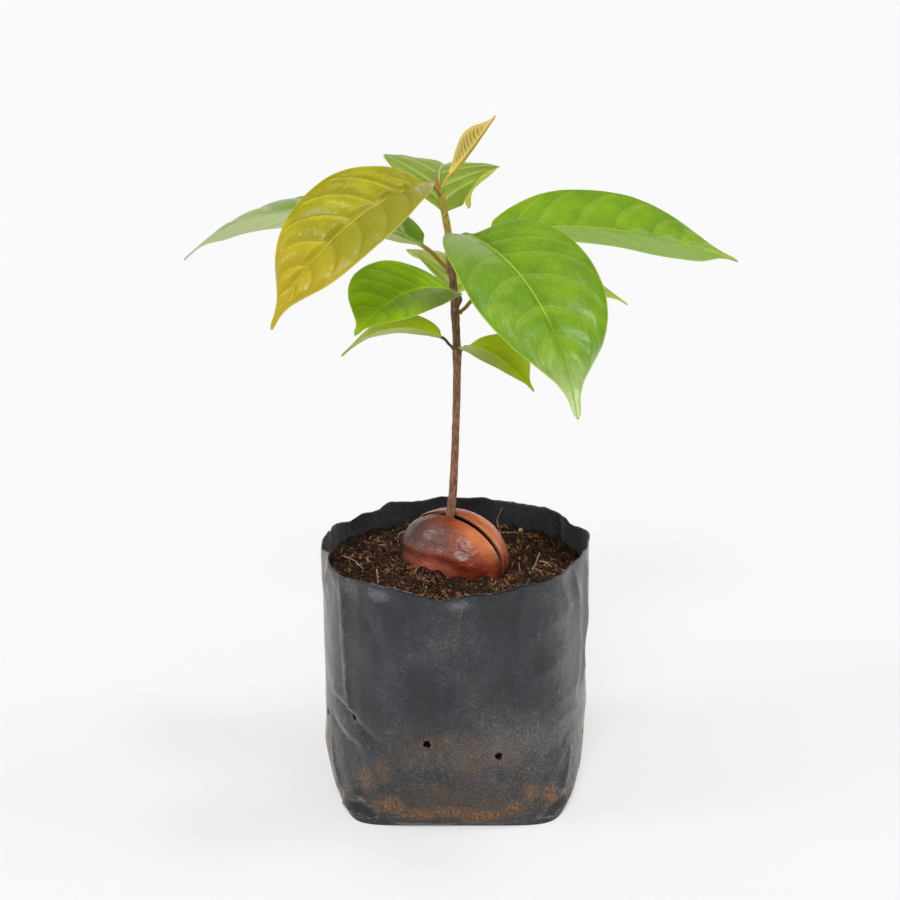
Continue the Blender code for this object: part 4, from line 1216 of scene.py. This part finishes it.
# What sets one leaf's finish apart, and the values that most leaves share. One colour is painted sheen on
# part of one half, and painted shade where it is darker than the blade; shares are of the blade's length,
# and that half's side is 1 for the left half, -1 for the right.
LEAF_COLOURS = ("Blade", "Shade", "Vein", "Margin", "Underside", "Petiole", "Tip", "Bloom")
LEAF_USUAL = {
    "bloom": (0.4, 0.45, 0.2), "vein_strength": 0.5, "cell_contrast": 0.3, "gloss": 0.33,
    "midrib_end": 1.2, "tip_start": 0.72, "wrinkle": 0.5, "bloom_side": 0.0, "bloom_edge": 0.0,
    "bloom_start": -0.2, "bloom_end": 0.7, "matt": 0.0,
}


def socket_name(word):
    """The socket that a value such as tip_start belongs to, such as Tip start."""
    return word.replace("_", " ").capitalize()


def blade_group():
    """Colour, roughness and height of a leaf's skin, from the values stored along its veins."""
    tree = bpy.data.node_groups.new("leaf_skin", "ShaderNodeTree")
    numbers = [socket_name(word) for word in LEAF_USUAL if word != "bloom"]
    for kind, labels in (("Color", LEAF_COLOURS), ("Float", numbers)):
        for label in labels:
            tree.interface.new_socket(label, in_out="INPUT", socket_type="NodeSocket" + kind)
    for label, kind in (("Colour", "Color"), ("Roughness", "Float"), ("Height", "Float")):
        tree.interface.new_socket(label, in_out="OUTPUT", socket_type="NodeSocket" + kind)
    given = tree.nodes.new("NodeGroupInput").outputs
    phase, gap, across = split(tree, stored(tree, "vein", "Vector"))
    x_mm, y_mm, topside = split(tree, stored(tree, "blade", "Vector"))
    edge, stalk, share = split(tree, stored(tree, "edge", "Vector"))
    flat = add(tree, "ShaderNodeCombineXYZ", {0: x_mm, 1: y_mm}).outputs[0]

    # midrib and side veins. A groove takes the midrib's place towards the tip
    phase = plus(tree, phase, times(tree, minus(tree, mottle(tree, flat, 0.08, 1), 0.5), 0.12))
    signed = minus(tree, phase, calc(tree, "ROUND", phase))
    side_mm = times(tree, calc(tree, "ABSOLUTE", signed), gap)
    wide = calc(tree, "ABSOLUTE", x_mm)
    inside = fade(tree, edge, 0.6, 3.0)
    groove = fade(tree, minus(tree, share, given["Midrib end"]), -0.12, 0.08)
    side_vein = times(
        tree, fade(tree, side_mm, 0.38, 0.10), fade(tree, edge, 1.0, 6.0, 0.15, 1.0),
        fade(tree, share, 0.96, 0.88), minus(tree, 1.0, times(tree, groove, 0.8)),
    )
    midrib = calc(tree, "DIVIDE", wide, fade(tree, share, 0.0, 1.0, 0.60, 0.18))
    midrib = times(tree, fade(tree, midrib, 1.0, 0.45), minus(tree, 1.0, groove))

    # fine cross veins that run from one side vein to the next
    warp = times(tree, mottle(tree, flat, 0.35, 3), 2.2)
    rung = calc(tree, "FRACT", plus(tree, calc(tree, "DIVIDE", wide, 2.3), warp))
    rung = fade(tree, calc(tree, "ABSOLUTE", minus(tree, rung, 0.5)), 0.16, 0.0)
    net = add(tree, "ShaderNodeTexVoronoi", {"Vector": flat, "Scale": 1.1}, feature="DISTANCE_TO_EDGE")
    net = calc(tree, "MAXIMUM", times(tree, rung, 0.8), fade(tree, net.outputs[0], 0.12, 0.0))
    net = times(tree, net, inside)

    # painted shade on the flank before each side vein and a painted highlight on the flank after it, for
    # the quilting; on the golden leaf, with its brown vein colour, they draw its stripes
    broad = mottle(tree, flat, 0.055, 3)
    colour = blend(tree, fade(tree, broad, 0.3, 0.7), given["Blade"], given["Shade"])
    open_cell = times(tree, fade(tree, wide, 0.5, 3.0), inside)
    strength = times(tree, given["Cell contrast"], open_cell)
    falling = times(tree, fade(tree, signed, -0.40, -0.06), fade(tree, signed, 0.04, -0.02))
    flank = times(tree, falling, strength)
    colour = blend(tree, flank, colour, given["Shade"])
    rising = times(tree, fade(tree, signed, 0.01, 0.08), fade(tree, signed, 0.34, 0.10))
    colour = blend(tree, times(tree, rising, times(tree, strength, 0.7)), colour, given["Vein"])

    # puckers between the side veins, drawn out from one to the next: painted shade in their hollows and
    # painted glints on their swellings
    fine = mottle(tree, flat, 1.4, 3, 0.6)
    tissue = add(tree, "ShaderNodeCombineXYZ", {0: wide, 1: times(tree, phase, 4.5)}).outputs[0]
    wrinkle = mottle(tree, tissue, 1.0, 4, 0.65)
    puckered = times(tree, given["Wrinkle"], open_cell)
    hollow = times(tree, fade(tree, wrinkle, 0.50, 0.36, 0, 0.30), puckered, clamp=True)
    colour = blend(tree, hollow, colour, given["Shade"])
    swollen = times(tree, fade(tree, wrinkle, 0.52, 0.68, 0, 0.24), puckered, clamp=True)
    colour = blend(tree, swollen, colour, given["Vein"])
    colour = blend(tree, times(tree, fade(tree, fine, 0.4, 0.7), 0.12), colour, given["Vein"])
    colour = blend(tree, times(tree, net, 0.10), colour, given["Vein"])
    colour = blend(tree, times(tree, side_vein, given["Vein strength"]), colour, given["Vein"])
    colour = blend(tree, times(tree, midrib, 0.85), colour, given["Margin"])

    # painted sheen on part of one half, from its own start to its own end along the blade; where a leaf
    # gives it a colour darker than its blade, it is painted shade
    paler_side = times(tree, across, given["Bloom side"])
    bloom = times(
        tree, fade(tree, minus(tree, paler_side, given["Bloom edge"]), 0.0, 0.25),
        fade(tree, minus(tree, share, given["Bloom start"]), 0.0, 0.1),
        fade(tree, minus(tree, share, given["Bloom end"]), 0.0, -0.35),
        fade(tree, wrinkle, 0.35, 0.65, 0.7, 0.9), fade(tree, side_vein, 0.0, 1.0, 1.0, 0.5),
    )
    colour = blend(tree, bloom, colour, given["Bloom"])

    # the tip, the groove, the margin, the underside and the petiole
    tip = fade(tree, minus(tree, share, given["Tip start"]), 0.0, 0.25, 0.0, 0.8)
    colour = blend(tree, times(tree, tip, fade(tree, fine, 0.3, 0.6, 0.6, 1.0)), colour, given["Tip"])
    # painted shade along the sunken groove towards the tip
    line = times(tree, groove, fade(tree, wide, 0.5, 0.12, 0.0, 0.6))
    colour = blend(tree, line, colour, given["Shade"])
    colour = blend(tree, fade(tree, edge, 0.55, 0.15, 0, 0.6), colour, given["Margin"])
    below = blend(tree, flank, given["Underside"], given["Shade"])
    below = blend(tree, calc(tree, "MAXIMUM", side_vein, midrib), below, given["Margin"])
    colour = blend(tree, topside, below, colour)
    colour = blend(tree, fade(tree, stalk, 0.35, 1.15), colour, given["Petiole"])

    rough = plus(
        tree, given["Gloss"], times(tree, minus(tree, fine, 0.5), 0.10),
        fade(tree, topside, 1.0, 0.0, 0.0, 0.2),
        times(tree, fade(tree, paler_side, -0.1, 0.15), given["Matt"]),
    )
    ridges = plus(
        tree, times(tree, side_vein, 0.4), times(tree, midrib, 0.3), times(tree, net, 0.06),
    )
    crinkle = add(tree, "ShaderNodeCombineXYZ", {0: wide, 1: times(tree, phase, 2.2)}).outputs[0]
    folds = plus(
        tree, times(tree, mottle(tree, crinkle, 0.70, 1), 0.55),
        times(tree, mottle(tree, flat, 0.17, 1), 0.3), times(tree, mottle(tree, flat, 0.45, 1), 0.4),
    )
    flip = fade(tree, topside, 0.0, 1.0, 1.0, -1.0)
    height = plus(
        tree, times(tree, ridges, flip), times(tree, fine, 0.10), times(tree, folds, puckered),
    )
    result = tree.nodes.new("NodeGroupOutput")
    feed(tree, result, {"Colour": colour, "Roughness": rough, "Height": height})
    return tree


leaf_skin = blade_group()


def leaf_look(label, shine=0.4, clear=0.3, relief=0.2, **given):
    """A leaf's material. clear is how much light comes through, relief its fine bump in millimetres."""
    made, tree, shader, _ = new_material(label)
    skin = tree.nodes.new("ShaderNodeGroup")
    skin.node_tree = leaf_skin
    for word, value in {**LEAF_USUAL, **given}.items():
        feed(tree, skin, {socket_name(word): (*value, 1.0) if isinstance(value, tuple) else value})
    feed(tree, shader, {
        "Base Color": skin.outputs["Colour"], "Roughness": skin.outputs["Roughness"],
        "Specular IOR Level": shine,
    })
    bumped(tree, shader, skin.outputs["Height"], relief * MM)
    through = blend(tree, 1.0, skin.outputs["Colour"], (1.35, 1.35, 0.4), "MULTIPLY")
    glow = add(tree, "ShaderNodeBsdfTranslucent", {"Color": through})
    both = add(tree, "ShaderNodeMixShader", {0: clear, 1: shader.outputs[0], 2: glow.outputs[0]})
    feed(tree, tree.nodes["Material Output"], {0: both.outputs[0]})
    return made


def dress_leaf(piece, look, node):
    """Gives a leaf its finish, its body and the solid that it stands for."""
    piece.data.materials.append(look)
    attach(piece, "root")
    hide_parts(node)


def olive_look(label, blade, shade, bloom, pale_side):
    """The finish of an old small leaf, with painted sheen on part of one half."""
    return leaf_look(
        label, blade=blade, shade=shade, vein=(0.62, 0.68, 0.07), margin=(0.72, 0.76, 0.20),
        underside=(0.52, 0.56, 0.20), petiole=(0.24, 0.12, 0.04), tip=blade, vein_strength=0.35,
        shine=0.35, clear=0.42, bloom=bloom, bloom_side=pale_side, bloom_end=0.85,
    )


LOW_LEFT = grow_leaf(
    "low_left_blade", height=208.5, heading=160, petiole=6.0, petiole_rise=72, length=54.0, width=30.5,
    rise=(26, -17, -47), turn=11, roll=(1, -1), left=(11, 12), right=(11, 13), droop=0.09, slim=0.13,
)
LOW_LEFT_LOOK = olive_look(
    "low_left_leaf", (0.62, 0.72, 0.005), (0.48, 0.60, 0.005), (0.72, 0.74, 0.50), 1.0,
)
dress_leaf(LOW_LEFT, LOW_LEFT_LOOK, "leaf_low_left")
LOW_RIGHT = grow_leaf(
    "low_right_blade", height=207.5, heading=-56, petiole=6.0, petiole_rise=66, length=50.0, width=26.0,
    rise=(20, -11, -33), turn=12, roll=(8, -3), left=(21, 12), right=(16, 14), droop=0.0, slim=-0.03,
)
LOW_RIGHT_LOOK = olive_look(
    "low_right_leaf", (0.56, 0.70, 0.006), (0.41, 0.56, 0.006), (0.54, 0.60, 0.22), -1.0,
)
dress_leaf(LOW_RIGHT, LOW_RIGHT_LOOK, "leaf_low_right")

# ---- Middle leaves ----
# Three leaves from one height: a green one whose base lies in front of the stem, a pale one behind
# it, and one that goes right under the large front leaf.

MID_GREEN = leaf_look(
    "middle_leaf", blade=(0.46, 0.70, 0.003), shade=(0.24, 0.47, 0.003), vein=(0.50, 0.68, 0.08),
    margin=(0.66, 0.74, 0.18), underside=(0.46, 0.56, 0.16), petiole=(0.24, 0.14, 0.035),
    tip=(0.50, 0.70, 0.006), vein_strength=0.3, shine=0.35, clear=0.40, cell_contrast=0.6,
    bloom=(0.26, 0.34, 0.12), bloom_side=1.0, bloom_end=0.8,
)
MID_LEFT = grow_leaf(
    "mid_left_blade", height=229.0, heading=229, petiole=11.5, petiole_rise=61, length=79.5, width=43.0,
    rise=(33, -2, -17), turn=17, roll=(-11, -11), left=(12, 8), right=(18, 15), droop=0.02, slim=0.14,
    twist=74,
)
dress_leaf(MID_LEFT, MID_GREEN, "leaf_mid_left")
LIGHT = leaf_look(
    "light_leaf", blade=(0.64, 0.74, 0.26), shade=(0.42, 0.57, 0.10), vein=(0.82, 0.86, 0.52),
    margin=(0.86, 0.86, 0.50), underside=(0.72, 0.76, 0.40), petiole=(0.36, 0.32, 0.05),
    tip=(0.66, 0.66, 0.22), vein_strength=0.6, shine=0.3, clear=0.42, cell_contrast=1.0,
)
MID_RIGHT = grow_leaf(
    "mid_right_blade", height=225.5, heading=12, petiole=7.0, petiole_rise=62, length=78.0, width=36.5,
    rise=(40, -8, -34), turn=-5, roll=(0, 8), left=(15, 10), right=(15, 5), droop=0.11, slim=0.01,
)
dress_leaf(MID_RIGHT, LIGHT, "leaf_mid_right")
MID_BACK = grow_leaf(
    "mid_back_blade", height=227.0, heading=92, petiole=6.0, petiole_rise=54, length=77.0, width=39.5,
    rise=(22, -2, -55), turn=16, roll=(11, 0), left=(30, -8), right=(22, -10), droop=0.08, slim=0.15,
)
dress_leaf(MID_BACK, LIGHT, "leaf_mid_back")

# ---- Large leaves ----
# The three that spread widest: one towards the viewer and right, one far right and one far left.

FRESH = leaf_look(
    "fresh_leaf", blade=(0.240, 0.435, 0.004), shade=(0.130, 0.295, 0.003), vein=(0.50, 0.66, 0.15),
    margin=(0.60, 0.68, 0.13), underside=(0.36, 0.50, 0.10), petiole=(0.28, 0.42, 0.07),
    tip=(0.64, 0.74, 0.32), vein_strength=0.65, cell_contrast=0.22, shine=0.42, gloss=0.18, clear=0.22,
    relief=0.34, midrib_end=0.66, wrinkle=1.0, bloom=(0.47, 0.57, 0.27), bloom_side=-1.0,
    bloom_end=0.40, matt=0.12,
)
FRONT_RIGHT = grow_leaf(
    "front_right_blade", height=252.5, heading=-62, petiole=20.5, petiole_rise=74, length=136.0,
    width=63.5, rise=(4, -20, -37), turn=-20, roll=(6, 2), left=(29, -9), right=(33, 0), droop=0.14,
    slim=-0.15, quilt=1.0, wave=0.1, rows=170, columns=26,
    veins=[0.05, 0.125, 0.23, 0.37, 0.54, 0.675, 0.785, 0.87],
)
dress_leaf(FRONT_RIGHT, FRESH, "leaf_front_right")
BRIGHT = leaf_look(
    "bright_leaf", blade=(0.275, 0.485, 0.004), shade=(0.155, 0.34, 0.003), vein=(0.48, 0.63, 0.10),
    margin=(0.64, 0.72, 0.12), underside=(0.36, 0.50, 0.10), petiole=(0.34, 0.32, 0.04),
    tip=(0.40, 0.56, 0.03), vein_strength=0.6, cell_contrast=0.35, shine=0.45, gloss=0.27, clear=0.25,
    wrinkle=0.6, bloom=(0.36, 0.50, 0.13), bloom_side=-1.0, bloom_end=1.0,
)
FAR_RIGHT = grow_leaf(
    "far_right_blade", height=250.0, heading=23, petiole=16.5, petiole_rise=56, length=137.0,
    width=57.0, rise=(8, -14, -23), turn=4, roll=(5, 21), left=(14, 19), right=(11, 8), droop=0.05,
    slim=0.08, quilt=0.8, wave=0.1, rows=170, columns=26,
    veins=[0.07, 0.18, 0.335, 0.48, 0.635, 0.745, 0.83, 0.9],
)
dress_leaf(FAR_RIGHT, BRIGHT, "leaf_far_right")
SOFT = leaf_look(
    "soft_leaf", blade=(0.18, 0.38, 0.006), shade=(0.095, 0.26, 0.004), vein=(0.60, 0.66, 0.36),
    margin=(0.60, 0.68, 0.26), underside=(0.50, 0.56, 0.20), petiole=(0.38, 0.24, 0.03),
    tip=(0.50, 0.58, 0.28), vein_strength=0.6, shine=0.4, cell_contrast=0.9, clear=0.25,
    tip_start=0.46, bloom=(0.58, 0.64, 0.35), bloom_side=1.0, bloom_edge=0.25, bloom_end=1.4,
)
FAR_LEFT = grow_leaf(
    "far_left_blade", height=244.5, heading=148, petiole=14.0, petiole_rise=54, length=138.5,
    width=57.5, rise=(24, -9, -46), turn=16, roll=(4, -8), left=(15, 0), right=(11, 5), droop=0.18,
    slim=0.0, quilt=0.8, rows=170, columns=26,
)
dress_leaf(FAR_LEFT, SOFT, "leaf_far_left")

# ---- Upper leaves ----
# The newest open blade, still bronze and quilted between its sunken veins, and the green one
# behind it, whose far half hangs.

BRONZE = leaf_look(
    "bronze_leaf", blade=(0.51, 0.50, 0.001), shade=(0.33, 0.29, 0.001), vein=(0.78, 0.75, 0.12),
    margin=(0.74, 0.68, 0.12), underside=(0.56, 0.48, 0.18), petiole=(0.42, 0.32, 0.03),
    tip=(0.65, 0.49, 0.02), vein_strength=0.12, cell_contrast=0.6, shine=0.42, gloss=0.20, clear=0.22,
    relief=0.44, wrinkle=1.0, tip_start=0.55, bloom=(0.35, 0.35, 0.03), bloom_side=1.0, bloom_end=0.95,
)
LEFT_BRONZE = grow_leaf(
    "bronze_blade", height=281.0, heading=239, petiole=11.0, petiole_rise=63, length=117.5, width=50.5,
    rise=(8, -20, -64), turn=-27, roll=(-10, -5), left=(32, -1), right=(40, 1), droop=0.08, slim=0.17,
    quilt=1.7, wave=0.15, rows=170, columns=26,
)
dress_leaf(LEFT_BRONZE, BRONZE, "leaf_left_bronze")
STRIPED = leaf_look(
    "striped_leaf", blade=(0.28, 0.40, 0.022), shade=(0.19, 0.30, 0.008), vein=(0.58, 0.66, 0.26),
    margin=(0.66, 0.70, 0.30), underside=(0.90, 0.84, 0.22), petiole=(0.36, 0.32, 0.05),
    tip=(0.72, 0.76, 0.38), vein_strength=0.1, shine=0.4, clear=0.30, cell_contrast=0.60,
    tip_start=0.5,
)
TOP_BACK = grow_leaf(
    "top_back_blade", height=266.5, heading=98, petiole=6.0, petiole_rise=32, length=104.5, width=54.5,
    rise=(21, -7, -77), turn=-46, roll=(13, -5), left=(22, -3), right=(16, 2), droop=0.07, slim=0.08,
    quilt=0.8, rows=140, columns=24, pinch=0.26,
)
dress_leaf(TOP_BACK, STRIPED, "leaf_top_back")

# ---- Young leaf and bud ----
# The youngest leaf is still folded along its midrib, golden with brown stripes. Beside it the
# growing tip is wrapped in two dry brown scales.

YOUNG_OUTLINE = [
    (0.0, 0.0), (0.05, 0.17), (0.15, 0.37), (0.3, 0.68), (0.45, 0.93), (0.56, 1.0), (0.69, 0.84),
    (0.79, 0.52), (0.87, 0.25), (0.94, 0.10), (1.0, 0.03),
]
GOLD = leaf_look(
    "golden_leaf", blade=(0.86, 0.72, 0.10), shade=(0.60, 0.42, 0.05), vein=(0.34, 0.19, 0.04),
    margin=(0.70, 0.56, 0.07), underside=(0.96, 0.82, 0.28), petiole=(0.66, 0.60, 0.13),
    tip=(0.80, 0.62, 0.10), vein_strength=0.8, cell_contrast=3.0, clear=0.3, wrinkle=0.2,
)
TOP_YOUNG = grow_leaf(
    "young_blade", height=282.3, heading=-1, petiole=7.0, petiole_rise=86, length=34.5, width=14.0,
    rise=(49, 54, 56), turn=-8, roll=(-1, -1), left=(78, 78), right=(78, 78), droop=0.03, slim=0.0,
    reach=0.9, quilt=0.25, wave=0.05, rows=100, columns=20, outline=YOUNG_OUTLINE,
    veins=[0.04, 0.11, 0.18, 0.25, 0.32, 0.39, 0.46, 0.53, 0.60, 0.67, 0.74, 0.81, 0.88],
)
dress_leaf(TOP_YOUNG, GOLD, "leaf_top_young")

# Each scale's height, x, y and radius, from its foot to its point.
BUD_SCALES = [
    [(282.2, -7.3, 8.3, 0.65), (284.3, -7.6, 8.3, 0.8), (287.0, -7.9, 8.2, 0.6), (291.0, -8.2, 8.1, 0.2)],
    [(282.4, -7.2, 7.8, 0.5), (284.3, -6.9, 7.0, 0.55), (287.0, -6.6, 6.3, 0.2)],
]


def scale_material():
    """Dry bud scale, streaked brown."""
    made, tree, shader, place = new_material("dry_scale")
    streaks = mottle(tree, place, 1500, 3, 0.6, (1.0, 1.0, 0.15))
    colour = blend(tree, fade(tree, streaks, 0.3, 0.7), (0.34, 0.16, 0.03), (0.58, 0.34, 0.08))
    feed(tree, shader, {"Base Color": colour, "Roughness": 0.6})
    bumped(tree, shader, streaks, 0.0002, 0.7)
    return made


parts = []
for rows in BUD_SCALES:
    knots = [[(row[0], row[i]) for row in rows] for i in (1, 2, 3)]
    heights = np.linspace(rows[0][0], rows[-1][0], 24)
    x, y, radius = (eased(heights, line) for line in knots)
    parts.append(tube(np.stack([x, y, heights], axis=1), radius, 14, 0.04))
bud = mesh_piece("bud_scales", *joined(parts))
bud.data.materials.append(scale_material())
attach(bud, "root")
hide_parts("terminal_bud")

# ---- Floor, light and camera ----
# A pale floor that runs past the view, an even pale studio all round, and four broad lamps: the
# strongest from the front, one from overhead and one from each side. The camera stands 1.2 m off
# and looks down on the pot.

FLOOR_HALF = 6000.0
WHITE = (1.0, 1.0, 1.0, 1.0)


def seen_rays(tree, *kinds):
    """1 for rays of these kinds, from the camera or off a glossy surface, and 0 for all others."""
    path = add(tree, "ShaderNodeLightPath").outputs
    return calc(tree, "MAXIMUM", *(path[f"Is {kind} Ray"] for kind in kinds))


def floor_material():
    """Plain matt floor, which looks near white but throws little light back at the pot."""
    made, tree, shader, _ = new_material("pale_floor")
    seen = seen_rays(tree, "Camera", "Glossy")
    feed(tree, shader, {
        "Base Color": blend(tree, seen, (0.62, 0.62, 0.62), (0.33, 0.33, 0.33)),
        "Roughness": 0.9, "Specular IOR Level": 0.0,
    })
    glow = add(tree, "ShaderNodeEmission", {"Color": WHITE, "Strength": times(tree, seen, 0.55)})
    both = add(tree, "ShaderNodeAddShader", {0: shader.outputs[0], 1: glow.outputs[0]})
    feed(tree, tree.nodes["Material Output"], {0: both.outputs[0]})
    return made


corners = [(-1, -1), (1, -1), (1, 1), (-1, 1)]
floor = mesh_piece("floor", [(x * FLOOR_HALF, y * FLOOR_HALF, 0.0) for x, y in corners], [(0, 1, 2, 3)])
floor.data.materials.append(floor_material())

world = bpy.data.worlds.new("studio")
bpy.context.scene.world = world
world.use_nodes = True
tree = world.node_tree
seen = seen_rays(tree, "Camera", "Glossy", "Transmission")
strength = add(tree, "ShaderNodeMapRange", {0: seen, 3: 0.56, 4: 0.95}).outputs[0]
# mirrored rays see the white backdrop near the horizon and the dimmer studio above it
way = add(tree, "ShaderNodeTexCoord").outputs["Generated"]
above = fade(tree, split(tree, way)[2], 0.0, 0.35)
mirrored = add(tree, "ShaderNodeLightPath").outputs["Is Glossy Ray"]
dimmed = minus(tree, 1.0, times(tree, above, mirrored, 0.86))
feed(tree, tree.nodes["Background"], {"Strength": times(tree, strength, dimmed), "Color": WHITE})

# strength, how broad in degrees, tilt from overhead, and turn of the side it comes from
for name, strength, spread, tilt, turn in (
    ("front_softbox", 0.92, 13, 39, -8),
    ("top_softbox", 0.60, 12, 12, 95),
    ("left_softbox", 0.70, 14, 46, -81),
    ("right_softbox", 0.60, 24, 60, 96),
):
    lamp = bpy.data.lights.new(name, "SUN")
    lamp.energy = strength
    lamp.angle = math.radians(spread)
    held = bpy.data.objects.new(name, lamp)
    held.rotation_euler = (math.radians(tilt), 0, math.radians(turn))
    bpy.context.scene.collection.objects.link(held)

LOOKING_DOWN = 20.7
camera = bpy.data.cameras.new("camera")
camera.lens = 105.6
camera.sensor_width = 36
held = bpy.data.objects.new("camera", camera)
held.location = (-0.0023, -1.1225, 0.5872)
held.rotation_euler = (math.radians(90 - LOOKING_DOWN), 0, 0)
bpy.context.scene.collection.objects.link(held)
bpy.context.scene.camera = held
bpy.context.scene.view_settings.view_transform = "Standard"
